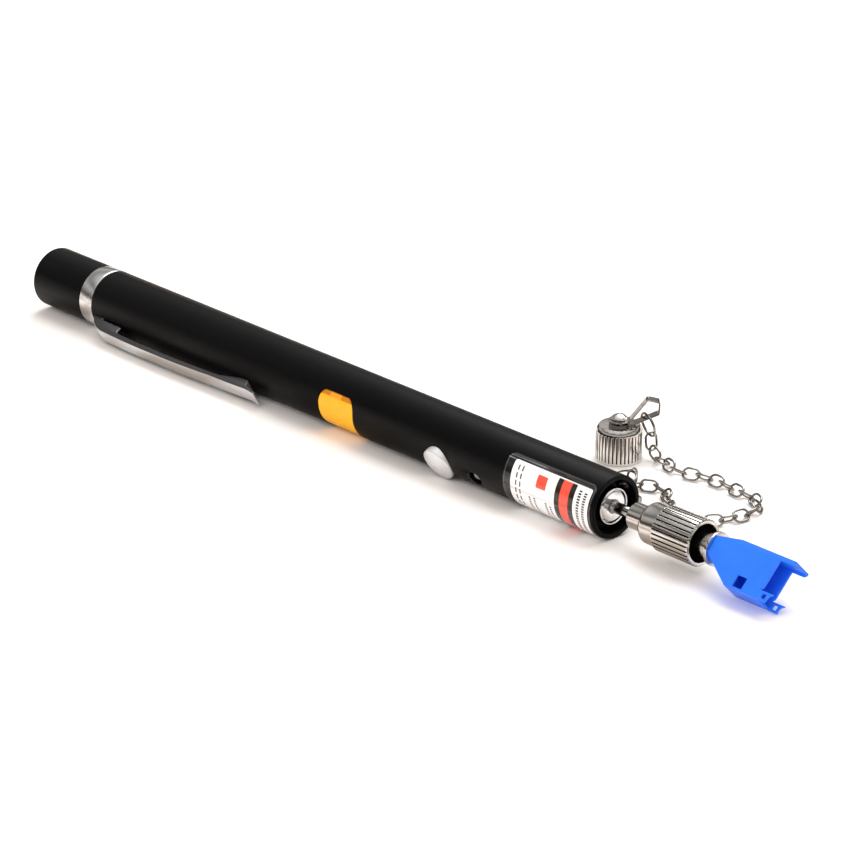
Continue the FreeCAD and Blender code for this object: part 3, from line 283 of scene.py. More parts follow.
@dataclass(frozen=True)
class PenFace:
    """Flat coordinates on the pen's round side: u along the pen and v round it, in millimetres."""

    start_mm: float
    radius_mm: float

    def sockets(self, tree: bpy.types.NodeTree) -> tuple[bpy.types.NodeSocket, bpy.types.NodeSocket]:
        """Work out both coordinates in a material.

        Args:
            tree: The material's node tree.

        Returns:
            The u and v sockets; v is zero on the button's line and grows upwards.
        """
        spot = add_node(tree, "ShaderNodeTexCoord")
        laid = add_node(
            tree,
            "ShaderNodeMapping",
            {
                "Vector": spot.outputs["Object"],
                "Location": (-self.start_mm, 0.0, 0.0),
                "Rotation": (-PEN_ROLL, 0.0, 0.0),
                "Scale": (1 / MM, 1 / MM, 1 / MM),
            },
        )
        axes = add_node(tree, "ShaderNodeSeparateXYZ", {0: laid.outputs["Vector"]}).outputs
        angle = add_node(tree, "ShaderNodeMath", {0: axes["Y"], 1: axes["Z"]}, operation="ARCTAN2")
        round_it = {0: angle.outputs[0], 1: self.radius_mm}
        return axes["X"], add_node(tree, "ShaderNodeMath", round_it, operation="MULTIPLY").outputs[0]


@dataclass(frozen=True)
class Patch:
    """A printed field with round corners, placed on the pen's face in millimetres."""

    u_mm: float
    v_mm: float
    half_u_mm: float
    half_v_mm: float
    corner_mm: float
    color: str
    dash_mm: float = 0.0
    dash_share: float = 0.7

    def mask(
        self, tree: bpy.types.NodeTree, u: bpy.types.NodeSocket, v: bpy.types.NodeSocket
    ) -> bpy.types.NodeSocket:
        """Find the field's inside.

        Args:
            tree: The material's node tree.
            u: Place along the pen in millimetres.
            v: Place round the pen in millimetres.

        Returns:
            A socket that is 1 inside the field and 0 outside.
        """
        reaches = []
        for reach, centre, half in ((u, self.u_mm, self.half_u_mm), (v, self.v_mm, self.half_v_mm)):
            away = (("SUBTRACT", centre), ("ABSOLUTE", 0.0))
            past_straight = (("SUBTRACT", half - self.corner_mm), ("MAXIMUM", 0.0))
            for step, number in away + past_straight:
                reach = add_node(tree, "ShaderNodeMath", {0: reach, 1: number}, operation=step).outputs[0]
            reaches.append(reach)
        pair = add_node(tree, "ShaderNodeCombineXYZ", {0: reaches[0], 1: reaches[1]})
        length = add_node(tree, "ShaderNodeVectorMath", {0: pair.outputs[0]}, operation="LENGTH")
        limit = {0: length.outputs["Value"], 1: self.corner_mm + CORNER_LEAST}
        inside = add_node(tree, "ShaderNodeMath", limit, operation="LESS_THAN").outputs[0]
        if self.dash_mm > 0:
            dash = v
            cut = (("DIVIDE", self.dash_mm), ("FLOORED_MODULO", 1.0), ("LESS_THAN", self.dash_share))
            for step, number in cut:
                dash = add_node(tree, "ShaderNodeMath", {0: dash, 1: number}, operation=step).outputs[0]
            inside = add_node(tree, "ShaderNodeMath", {0: inside, 1: dash}, operation="MULTIPLY").outputs[0]
        return inside


@dataclass(frozen=True)
class Printed(Finish):
    """A finish with fields of plain colour laid over its own colour."""

    face: PenFace = PenFace(0.0, 7.0)
    patches: tuple[Patch, ...] = ()

    def material(self) -> bpy.types.Material:
        """Build the material and lay the fields one over another.

        Returns:
            The material.
        """
        material, shader = self.start()
        tree = material.node_tree
        self.wear(tree, shader)
        u, v = self.face.sockets(tree)
        color = linear(self.color)
        for patch in self.patches:
            layers = {0: patch.mask(tree, u, v), MIX_LOW: color, MIX_HIGH: linear(patch.color)}
            color = add_node(tree, "ShaderNodeMix", layers, data_type="RGBA").outputs[MIX_COLOR]
        if self.patches:
            tree.links.new(color, shader.inputs["Base Color"])
        return material


# Bead-blasted, black anodised aluminium: deep black with a soft, slightly grey sheen.
ANODISED = Finish(
    "anodised_aluminium_blasted", Slot.ANODISED_BLACK, "#050506", 0.4, specular=0.11, grain_mm=0.16,
    grain_depth_mm=0.005, mottle_mm=14.0, mottle=0.03, shade="#080809", shade_share=0.5,
)
# Edge where the cutter took the anodised skin off: a bright thin line round the lamp.
CUT_RIM = Finish(
    "aluminium_cut_edge", Slot.ANODISED_BLACK, "#B9BABC", 0.25, metallic=1.0, grain_mm=0.2,
    grain_depth_mm=0.002, mottle_mm=0.8, mottle=0.05,
)
# Lathe-turned aluminium: bright satin with fine rings round the pen.
TURNED_SILVER = Finish(
    "aluminium_turned_satin", Slot.SATIN_SILVER, "#E2E2E1", 0.22, metallic=1.0, lay=Lay.TURNED, grain_mm=0.12,
    grain_depth_mm=0.002, mottle_mm=1.2, mottle=0.05,
)
# Blasted and clear anodised button: almost white, with a broad soft highlight.
BUTTON_SATIN = Finish(
    "aluminium_blasted_clear", Slot.SATIN_SILVER, "#ECEEF0", 0.42, metallic=0.6, grain_mm=0.2,
    grain_depth_mm=0.004, mottle_mm=3.0, mottle=0.04,
)
# Stamped spring steel with a satin nickel strike: light grey, drawn along its length.
CLIP_SATIN = Finish(
    "spring_steel_stamped", Slot.CLIP_STEEL, "#E6E6E5", 0.34, metallic=0.8, lay=Lay.DRAWN, grain_mm=0.15,
    grain_depth_mm=0.003, mottle_mm=2.0, mottle=0.06,
)
# Turned-down walls of the clip: the same drawn steel, a little rougher, painted darker as painted shade.
CLIP_WALL_SHADE = Finish(
    "spring_steel_wall_painted_shade", Slot.CLIP_STEEL, "#5A5A5B", 0.4, metallic=0.9, lay=Lay.DRAWN, grain_mm=0.15,
    grain_depth_mm=0.004, mottle_mm=2.0, mottle=0.06,
)
# Bright nickel plate over turned brass: mirror-like, faintly warm, slightly uneven.
NICKEL = Finish(
    "brass_nickel_plated", Slot.NICKEL, "#E2DFDA", 0.12, metallic=1.0, grain_mm=0.6,
    grain_depth_mm=0.001, mottle_mm=1.6, mottle=0.04, shade="#CFC9C2", shade_share=0.4,
)
# Bright nickel on drawn wire and thin strip, painted much darker than the nickel above: painted reflection of
# the dark room in the small curves.
WIRE_NICKEL_PAINTED_DARK = Finish(
    "wire_nickel_painted_dark_reflection", Slot.NICKEL, "#A9A5A1", 0.12, metallic=1.0, grain_mm=0.5,
    grain_depth_mm=0.001, mottle_mm=1.2, mottle=0.05, shade="#8E8984", shade_share=0.5,
)
# Floor of a cut flute: painted shade, a dark nickel that makes the groove read almost black.
FLUTE_SHADE = Finish(
    "brass_nickel_flute_painted_shade", Slot.NICKEL, "#2A2623", 0.35, metallic=1.0, grain_mm=0.3,
    grain_depth_mm=0.002, mottle_mm=1.0, mottle=0.05,
)
# Chromed port: colder and brighter than the nickel parts.
CHROME = Finish(
    "brass_chrome_plated", Slot.NICKEL, "#E2E3E4", 0.08, metallic=1.0, lay=Lay.TURNED, grain_mm=0.3,
    grain_depth_mm=0.0003, mottle_mm=1.5, mottle=0.02,
)
# Moulded polycarbonate, coloured through: warm amber that glows a little, with a soft highlight.
AMBER = Printed(
    "polycarbonate_amber", Slot.AMBER, "#FFBA24", 0.3, specular=0.3, subsurface=0.1, grain_mm=1.2,
    grain_depth_mm=0.003, mottle_mm=4.0, mottle=0.05,
)
# Moulded connector plastic: saturated blue, smooth, light passing into thin edges.
BLUE = Finish(
    "polybutylene_blue_moulded", Slot.BLUE_PLASTIC, "#2879FC", 0.36, specular=0.35, subsurface=0.08,
    grain_mm=0.25, grain_depth_mm=0.003, mottle_mm=3.0, mottle=0.05, shade="#2271F2", shade_share=0.5,
)
# Moulded black nylon of the inner parts: dull and almost black.
BLACK_NYLON = Finish(
    "nylon_black_moulded", Slot.BLACK_PLASTIC, "#070708", 0.55, specular=0.2, grain_mm=0.3,
    grain_depth_mm=0.005, mottle_mm=3.0, mottle=0.05,
)
# Ground zirconia: cream white and glossy.
ZIRCONIA = Finish(
    "zirconia_ground", Slot.CERAMIC, "#E9E5DA", 0.18, subsurface=0.1, lay=Lay.TURNED, grain_mm=0.2,
    grain_depth_mm=0.001, mottle_mm=1.5, mottle=0.03,
)
# Ground stainless ferrule: dark by what it mirrors inside the port.
FERRULE_STEEL = Finish(
    "stainless_ground", Slot.CERAMIC, "#B4B3B2", 0.12, metallic=1.0, lay=Lay.TURNED, grain_mm=0.2,
    grain_depth_mm=0.0002, mottle_mm=1.5, mottle=0.04,
)
# Clear moulded epoxy: a small wet glint over a smoky, dark hole.
LAMP = Finish(
    "epoxy_clear_moulded", Slot.LAMP_CLEAR, "#8A8C8F", 0.06, coat=1.0, transmission=0.35, grain_mm=1.0,
    grain_depth_mm=0.001, mottle_mm=2.0, mottle=0.02,
)
# Solder mask over woven glass: green with a faint weave.
BOARD = Finish(
    "glass_epoxy_masked", Slot.BOARD_GREEN, "#12603A", 0.35, grain_mm=0.5, grain_depth_mm=0.01,
    mottle_mm=5.0, mottle=0.08, shade="#0C4A2C", shade_share=0.6,
)
# Shrink-wrapped cell jacket: dark, smooth film.
CELL_FILM = Finish(
    "shrink_film_dark", Slot.CELL_JACKET, "#22282D", 0.25, coat=0.3, lay=Lay.DRAWN, grain_mm=0.6,
    grain_depth_mm=0.004, mottle_mm=8.0, mottle=0.05,
)
# Nickel-plated spring wire: pale, with a soft shine.
SPRING_WIRE = Finish(
    "spring_wire_plated", Slot.SPRING_STEEL, "#C2C0BB", 0.24, metallic=1.0, grain_mm=0.2,
    grain_depth_mm=0.002, mottle_mm=1.0, mottle=0.05,
)
# Turned brass: yellow satin with fine rings.
BRASS = Finish(
    "brass_turned", Slot.BRASS, "#C9A35C", 0.28, metallic=1.0, lay=Lay.TURNED, grain_mm=0.15,
    grain_depth_mm=0.003, mottle_mm=1.5, mottle=0.05,
)
# Coated glass: clear, with a faint blue cast.
LENS = Finish(
    "glass_coated", Slot.LENS_GLASS, "#DDE6F0", 0.03, transmission=0.9, grain_mm=2.0,
    grain_depth_mm=0.0005, mottle_mm=2.0, mottle=0.01,
)
# The window's darker strip, painted shadow under the tube's edge, and the lighter mark on it.
AMBER_EDGE_SHADOW = "#D27E12"
AMBER_MARK = "#F0A02C"
# Inks and paper of the label, and a grey for the painted highlight along its edge.
INK_BLACK = "#0E0E0F"
INK_BROWN = "#241A14"
INK_RED = "#F0553F"
INK_GREY = "#3A3A3E"
FILM_EDGE_HIGHLIGHT = "#4E4E50"
PAPER = "#FFFFFF"
# Printed polyester film under a gloss laminate: plain fields of colour and thin rules.
LABEL = Printed(
    "polyester_film_printed", Slot.LABEL_FILM, INK_BLACK, 0.24, coat=0.4, grain_mm=0.8, grain_depth_mm=0.002,
    mottle_mm=6.0, mottle=0.04,
)

# Floor sheet as the eye sees it, and its shaded patches as polished parts mirror them.
SHEET_WHITE = "#FAFAFA"
SHEET_SHADE = "#B4ACA4"
# The room's light, and its mirrored bands by the height of the line of sight.
ROOM_WARM = "#FFF0E6"
ROOM_WHITE = "#FFFFFF"
BANDS = (
    (0.0, "#6E6862"),
    (0.16, "#3A3633"),
    (0.3, "#B8B5B1"),
    (0.42, "#D8D6D3"),
    (0.56, "#6E6A66"),
    (0.74, "#E4E4E4"),
    (0.95, "#FFFFFF"),
)


def activate(piece: bpy.types.Object) -> None:
    """Select one object alone and make it active.

    Args:
        piece: The object.
    """
    bpy.ops.object.select_all(action="DESELECT")
    piece.select_set(True)
    bpy.context.view_layer.objects.active = piece


def edit(piece: bpy.types.Object, steps: Callable[[], None]) -> None:
    """Run edit-mode operators on the whole of one piece.

    Args:
        piece: The mesh object.
        steps: Called in edit mode with everything selected.
    """
    activate(piece)
    bpy.ops.object.mode_set(mode="EDIT")
    bpy.ops.mesh.select_all(action="SELECT")
    steps()
    bpy.ops.object.mode_set(mode="OBJECT")


def apply_modifier(piece: bpy.types.Object, modifier: bpy.types.Modifier) -> None:
    """Make one modifier of a piece part of its mesh.

    Args:
        piece: The mesh object.
        modifier: One of its modifiers.
    """
    activate(piece)
    bpy.ops.object.modifier_apply(modifier=modifier.name)


def smooth(piece: bpy.types.Object) -> None:
    """Shade a piece smooth, apart from its sharp edges.

    Args:
        piece: The mesh object.
    """
    activate(piece)
    bpy.ops.object.shade_smooth_by_angle(angle=math.radians(SMOOTH_DEG))


class MaterialShelf:
    """Makes each finish's material once and hands out the same one after that."""

    def __init__(self) -> None:
        """Start with an empty shelf."""
        self.made: dict[str, bpy.types.Material] = {}

    def get(self, finish: Finish) -> bpy.types.Material:
        """Fetch the material of a finish.

        Args:
            finish: The surface wanted.

        Returns:
            Its material, made now or earlier.
        """
        if finish.name not in self.made:
            self.made[finish.name] = finish.material()
        return self.made[finish.name]


MATERIALS = MaterialShelf()


def dress(piece: bpy.types.Object, finish: Finish) -> None:
    """Give a piece one finish on all its faces.

    Args:
        piece: The mesh object.
        finish: The surface it gets.
    """
    piece.data.materials.clear()
    piece.data.materials.append(MATERIALS.get(finish))


def paint(piece: bpy.types.Object, finish: Finish, wanted: Callable[[Vector, Vector], bool]) -> None:
    """Give some faces of a piece a second finish.

    Args:
        piece: The mesh object.
        finish: The second finish.
        wanted: Tells from a face's centre and normal whether it takes the finish.
    """
    piece.data.materials.append(MATERIALS.get(finish))
    for face in piece.data.polygons:
        if wanted(face.center, face.normal):
            face.material_index = 1


def body_of(node: str) -> str:
    """Find the CAD body that carries a node.

    Args:
        node: The node's name.

    Returns:
        The body's name.
    """
    bodies = frame["record"]["behaviour"]["bodies"]
    return next(body for body, nodes in bodies.items() if node in nodes)


def merge() -> None:
    """Join the loose triangles of a CAD copy in edit mode and clear the lines across flat faces."""
    bpy.ops.mesh.remove_doubles(threshold=MERGE_GAP)
    bpy.ops.mesh.dissolve_limited(angle_limit=math.radians(FLAT_DEG))


def refine(node: str, finish: Finish, edge_mm: float = 0.0) -> bpy.types.Object:
    """Stand a clean, smooth copy of a node in its place, with its sharp edges broken.

    Args:
        node: The CAD node to copy.
        finish: The surface it gets.
        edge_mm: Width of the broken edge; zero leaves edges sharp.

    Returns:
        The new piece.
    """
    piece = bpy.data.objects.new(f"{node}_fine", frame["nodes"][node].data.copy())
    bpy.context.scene.collection.objects.link(piece)
    edit(piece, merge)
    if edge_mm > 0:
        bevel = piece.modifiers.new("edge", "BEVEL")
        bevel.width = edge_mm * MM
        bevel.segments = EDGE_STEPS
        bevel.limit_method = "ANGLE"
        bevel.angle_limit = math.radians(SHARP_DEG)
        apply_modifier(piece, bevel)
    smooth(piece)
    dress(piece, finish)
    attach(piece, body_of(node))
    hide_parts(node)
    return piece


def keep(node: str, finish: Finish) -> None:
    """Leave a CAD node as it is and give it a better material.

    Args:
        node: The CAD node.
        finish: The surface it gets.
    """
    for slot in frame["nodes"][node].material_slots:
        slot.material = MATERIALS.get(finish)


def darken_flutes(piece: bpy.types.Object, axis: Vector, middle: Vector, crest: float) -> None:
    """Give the cut flutes round a turned part a dark floor, which is painted shade in the grooves.

    Args:
        piece: The part.
        axis: Direction of its turning axis.
        middle: A point on that axis.
        crest: Radius over the flutes' lands.
    """

    def in_flute(centre: Vector, normal: Vector) -> bool:
        """Tell whether a face lies in a flute."""
        arm = centre - middle
        radius = (arm - axis * arm.dot(axis)).length
        return abs(normal.dot(axis)) < FLUTE_TILT and crest - FLUTE_DEEP < radius < crest - FLUTE_SHALLOW

    paint(piece, FLUTE_SHADE, in_flute)


@dataclass
class PenBody:
    """Tube, tail cap, trim ring, window, button, lamp and the parts inside."""

    edge_mm: float = 0.12
    ring_edge_mm: float = 0.1
    button_edge_mm: float = 0.7
    radius_mm: float = 7.0
    rim_mm: float = 2.32
    rim_depth_mm: float = 1.0
    window_half_deg: float = 58.0
    window_corner_mm: float = 2.34
    window_corner_steps: int = 8
    overlap_mm: float = 2.6
    pad_radius_mm: float = 6.86
    pad_root_mm: float = 5.7
    pad_play_mm: float = 0.06
    sill_mm: float = 3.72
    cutter_length_mm: float = 40.0
    cutter_sides: int = 160
    label_radius_mm: float = 7.1

    def build(self) -> None:
        """Refine the outer parts and dress the inner ones."""
        tube = refine("body_tube", ANODISED, self.edge_mm)
        low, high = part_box("indicator_led")
        lamp = (Vector(low) + Vector(high)) / 2

        def on_rim(centre: Vector, _: Vector) -> bool:
            """Tell whether a face of the tube is on the cut edge round the lamp."""
            arm = centre - lamp
            height = arm.dot(FACE_OUT)
            reach = (arm - FACE_OUT * height).length / MM
            return height > -self.rim_depth_mm * MM and abs(reach - self.rim_mm) < self.edge_mm

        paint(tube, CUT_RIM, on_rim)
        refine("tail_cap", ANODISED)
        refine("tail_ring", TURNED_SILVER, self.ring_edge_mm)
        refine("push_button", BUTTON_SATIN, self.button_edge_mm)
        self.window()
        refine("indicator_led", LAMP)
        refine("label", self.label_finish())
        inside = {
            "button_switch": BLACK_NYLON,
            "front_contact": BLACK_NYLON,
            "battery_rear": CELL_FILM,
            "battery_front": CELL_FILM,
            "circuit_board": BOARD,
            "laser_module": BRASS,
            "laser_lens": LENS,
            "tail_spring": SPRING_WIRE,
        }
        for node, finish in inside.items():
            keep(node, finish)

    def window(self) -> None:
        """Join the raised pad that fills the tube's opening to the amber sleeve."""
        low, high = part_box("window_sleeve")
        sleeve = refine("window_sleeve", self.window_finish())
        length = high[0] - low[0] - 2 * (self.overlap_mm + self.pad_play_mm) * MM
        pad = self.pad(length)
        middle = (low[0] + high[0]) / 2
        turn = Matrix.Translation((middle, 0.0, 0.0)) @ Matrix.Rotation(PEN_ROLL, 4, "X")
        pad.data.transform(turn)
        self.combine(sleeve, pad, "UNION")
        smooth(sleeve)

    def pad(self, length: float) -> bpy.types.Object:
        """Cut the window's pad to the tube's curve, lying on top of a pen at the origin.

        Args:
            length: Its length along the pen in metres.

        Returns:
            The pad.
        """
        half_width_mm = self.radius_mm * math.sin(math.radians(self.window_half_deg)) - self.pad_play_mm
        bpy.ops.object.select_all(action="DESELECT")
        bpy.ops.mesh.primitive_cube_add(size=1.0, location=(0.0, 0.0, self.radius_mm * MM))
        pad = bpy.context.object
        pad.scale = (length, 2 * half_width_mm * MM, 2 * (self.radius_mm - self.sill_mm) * MM)
        bpy.ops.object.transform_apply(location=True, rotation=False, scale=True)
        corners = pad.modifiers.new("corners", "BEVEL")
        corners.width = self.window_corner_mm * MM
        corners.segments = self.window_corner_steps
        corners.limit_method = "WEIGHT"
        weights = pad.data.attributes.new("bevel_weight_edge", "FLOAT", "EDGE")
        for edge in pad.data.edges:
            first, last = (pad.data.vertices[i].co for i in edge.vertices)
            weights.data[edge.index].value = float(abs(first.z - last.z) > MM)
        apply_modifier(pad, corners)
        for radius_mm, operation in ((self.pad_radius_mm, "INTERSECT"), (self.pad_root_mm, "DIFFERENCE")):
            bpy.ops.object.select_all(action="DESELECT")
            bpy.ops.mesh.primitive_cylinder_add(
                vertices=self.cutter_sides,
                radius=radius_mm * MM,
                depth=self.cutter_length_mm * MM,
                rotation=(0.0, math.pi / 2, 0.0),
            )
            self.combine(pad, bpy.context.object, operation)
        return pad

    def combine(self, piece: bpy.types.Object, tool: bpy.types.Object, operation: str) -> None:
        """Join or cut a piece with a second mesh and take that mesh away.

        Args:
            piece: The mesh object that stays.
            tool: The mesh object used up.
            operation: UNION, INTERSECT or DIFFERENCE.
        """
        work = piece.modifiers.new("work", "BOOLEAN")
        work.operation = operation
        work.solver = "EXACT"
        work.object = tool
        apply_modifier(piece, work)
        bpy.data.objects.remove(tool)

    def window_finish(self) -> Finish:
        """Colour the amber plastic, with the darker strip of painted shadow and the lighter mark behind its
        upper edge.

        Returns:
            The window's finish.
        """
        low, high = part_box("window_sleeve")
        length = (high[0] - low[0]) / MM
        patches = (
            # Painted shadow of the tube's edge along the window's upper side, then the lighter mark on it.
            Patch(length / 2, 7.6, length, 1.9, 0.0, AMBER_EDGE_SHADOW),
            Patch(length / 2 - 0.4, 6.5, 1.75, 0.85, 0.1, AMBER_MARK),
        )
        return replace(AMBER, face=PenFace(low[0] / MM, self.pad_radius_mm), patches=patches)

    def label_finish(self) -> Finish:
        """Lay out the label's fields and rules; it has no words, signs or numbers.

        Returns:
            The label's finish.
        """
        low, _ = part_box("label")
        # Centre along and round the pen, half sizes, corner and ink, first the film and paper.
        patches = [
            # The outermost grey ring is a painted highlight along the film's edge.
            Patch(13.1, 0.0, 12.9, 9.98, 1.5, FILM_EDGE_HIGHLIGHT),
            Patch(13.1, 0.0, 12.68, 9.76, 1.35, INK_BLACK),
            Patch(13.85, 0.0, 11.55, 8.9, 0.6, PAPER),
            Patch(18.25, 0.0, 2.75, 8.62, 0.0, INK_BROWN),
            Patch(18.25, 0.0, 1.3, 8.62, 0.0, INK_RED),
            Patch(11.3, 6.15, 1.45, 1.45, 0.35, INK_RED),
            Patch(4.6, 0.2, 0.8, 7.9, 0.1, INK_GREY, dash_mm=1.7, dash_share=0.7),
            Patch(4.6, 0.2, 0.42, 8.2, 0.0, PAPER),
        ]
        # Rows of short dashes: centre along and round the pen, half sizes, dash and its share.
        for u, v, half_u, half_v, dash, share in (
            (8.0, -3.0, 0.3, 5.2, 0.55, 0.62),
            (9.5, -2.8, 0.3, 5.0, 0.6, 0.62),
            (12.9, -3.0, 0.3, 5.2, 0.55, 0.66),
            (14.2, -3.2, 0.3, 5.0, 0.6, 0.62),
            (22.4, -0.2, 0.42, 8.0, 0.62, 0.66),
            (24.0, -0.2, 0.42, 8.0, 0.56, 0.64),
        ):
            patches.append(Patch(u, v, half_u, half_v, 0.0, INK_GREY, dash_mm=dash, dash_share=share))
        return replace(LABEL, face=PenFace(low[0] / MM, self.label_radius_mm), patches=tuple(patches))


@dataclass
class Clip:
    """Stamped pocket clip."""

    edge_mm: float = 0.14
    wall_facing: float = 0.8

    def build(self) -> None:
        """Round the stamped edges of the clip and give its turned-down walls a darker finish, which is
        painted shade.
        """
        clip = refine("pocket_clip", CLIP_SATIN, self.edge_mm)
        across = Vector(JOINTS["clip_flex"]["axis"]).normalized()
        # Painted shade: faces that look across the clip, its turned-down walls, get the darker steel.
        paint(clip, CLIP_WALL_SHADE, lambda _, normal: abs(normal.dot(across)) > self.wall_facing)


@dataclass
class FrontEnd:
    """Port, adapter, coupling nut and moulded socket."""

    port_edge_mm: float = 0.05
    core_edge_mm: float = 0.08
    nut_edge_mm: float = 0.03
    socket_edge_mm: float = 0.16

    def build(self) -> None:
        """Refine the port and the adapter."""
        refine("port_holder", BLACK_NYLON)
        refine("port_barrel", CHROME, self.port_edge_mm)
        keep("port_sleeve", ZIRCONIA)
        refine("adapter_ferrule", FERRULE_STEEL)
        refine("adapter_core", NICKEL, self.core_edge_mm)
        nut = refine("adapter_nut", NICKEL, self.nut_edge_mm)
        low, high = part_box("adapter_nut")
        # Painted shade in the nut's flutes.
        darken_flutes(nut, Vector((1.0, 0.0, 0.0)), Vector((0.0, 0.0, 0.0)), (high[1] - low[1]) / 2)
        refine("socket_housing", BLUE, self.socket_edge_mm)
        refine("socket_sleeve", ZIRCONIA)


@dataclass
class DustCap:
    """Fluted cap with its rivet and swivel strap."""

    cap_edge_mm: float = 0.03
    rivet_edge_mm: float = 0.06

    def build(self) -> None:
        """Refine the cap's three parts."""
        cap = refine("dust_cap", NICKEL, self.cap_edge_mm)
        low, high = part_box("dust_cap")
        middle = (Vector(low) + Vector(high)) / 2
        # Painted shade in the cap's flutes.
        darken_flutes(cap, Vector((0.0, 0.0, 1.0)), middle, (high[0] - low[0]) / 2)
        refine("cap_rivet", NICKEL, self.rivet_edge_mm)
        # The strap's nickel is painted darker, a painted reflection of the dark room.
        refine("swivel_strap", WIRE_NICKEL_PAINTED_DARK)


@dataclass
class Tether:
    """Chain of oval links and the two jump rings, in round wire."""

    link_length_mm: float = 4.5
    link_width_mm: float = 3.2
    link_wire_mm: float = 0.55
    ring_diameter_mm: float = 6.0
    ring_wire_mm: float = 0.6
    turns: int = 24
    sides: int = 10
    middle_mm: float = 0.001

    def ring(self, outer_mm: float, wire_mm: float) -> bpy.types.Object:
        """Add a round wire ring about the origin.

        Args:
            outer_mm: Diameter over the wire.
            wire_mm: Diameter of the wire.

        Returns:
            The ring.
        """
        bpy.ops.object.select_all(action="DESELECT")
        bpy.ops.mesh.primitive_torus_add(
            major_segments=self.turns,
            minor_segments=self.sides,
            major_radius=(outer_mm - wire_mm) / 2 * MM,
            minor_radius=wire_mm / 2 * MM,
        )
        return bpy.context.object

    def link(self) -> bpy.types.Object:
        """Draw a ring out into one oval link, long along X.

        Returns:
            The link.
        """
        link = self.ring(self.link_width_mm, self.link_wire_mm)
        stretch = (self.link_length_mm - self.link_width_mm) / 2 * MM
        for side in (1, -1):
            for vertex in link.data.vertices:
                vertex.select = vertex.co.x * side > self.middle_mm * MM
            for group in (link.data.edges, link.data.polygons):
                for item in group:
                    item.select = False
            activate(link)
            bpy.ops.object.mode_set(mode="EDIT")
            bpy.ops.mesh.select_mode(type="VERT")
            bpy.ops.transform.translate(value=(stretch * side, 0.0, 0.0))
            bpy.ops.object.mode_set(mode="OBJECT")
        return link

    def islands(self, node: str) -> list[np.ndarray]:
        """Sort the points of a node by the loose solid that they belong to.

        Args:
            node: The CAD node.

        Returns:
            One array of points per solid.
        """
        mesh = frame["nodes"][node].data.copy()
        copy = bpy.data.objects.new("islands", mesh)
        bpy.context.scene.collection.objects.link(copy)
        edit(copy, lambda: bpy.ops.mesh.remove_doubles(threshold=MERGE_GAP))
        parent = list(range(len(mesh.vertices)))

        def top(i: int) -> int:
            """Find the vertex that stands for the solid that holds vertex i."""
            while parent[i] != i:
                parent[i] = parent[parent[i]]
                i = parent[i]
            return i

        for edge in mesh.edges:
            parent[top(edge.vertices[0])] = top(edge.vertices[1])
        groups: dict[int, list[Vector]] = {}
        for i, vertex in enumerate(mesh.vertices):
            groups.setdefault(top(i), []).append(vertex.co)
        found = [np.array(points) for points in groups.values()]
        bpy.data.objects.remove(copy)
        return found

    def pose(self, points: np.ndarray) -> Matrix:
        """Find where a flat ring lies.

        Args:
            points: Points spread evenly over it.

        Returns:
            Its centre, with its longest way as X and its flattest way as Z.
        """
        centre = points.mean(axis=0)
        _, axes = np.linalg.eigh(np.cov((points - centre).T))
        flat, long = Vector(axes[:, 0]), Vector(axes[:, 2])
        turn = Matrix((long, flat.cross(long), flat)).transposed().to_4x4()
        return Matrix.Translation(Vector(centre)) @ turn

    def lay(self, master: bpy.types.Object, node: str) -> None:
        """Copy a ring or link onto each solid of a node and join the copies.

        Args:
            master: The ring or link; it is used up.
            node: The CAD node it stands in for.
        """
        copies = []
        for points in self.islands(node):
            copy = bpy.data.objects.new(node, master.data.copy())
            bpy.context.scene.collection.objects.link(copy)
            copy.data.transform(self.pose(points))
            copies.append(copy)
        bpy.data.objects.remove(master)
        activate(copies[0])
        for copy in copies:
            copy.select_set(True)
        if len(copies) > 1:
            bpy.ops.object.join()
        piece = bpy.context.view_layer.objects.active
        piece.name = f"{node}_fine"
        activate(piece)
        bpy.ops.object.shade_smooth()
        # The wire's nickel is painted darker, a painted reflection of the dark room.
        dress(piece, WIRE_NICKEL_PAINTED_DARK)
        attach(piece, body_of(node))
        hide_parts(node)

    def build(self) -> None:
        """Make both rings and the chain."""
        for node in ("cap_jump_ring", "body_jump_ring"):
            self.lay(self.ring(self.ring_diameter_mm, self.ring_wire_mm), node)
        self.lay(self.link(), "chain_links")


@dataclass(frozen=True)
class SoftBox:
    """A square soft lamp that faces the pen; an unmirrored one leaves no highlight."""

    name: str
    spot: Point
    size: float
    power: float
    mirrored: bool = True


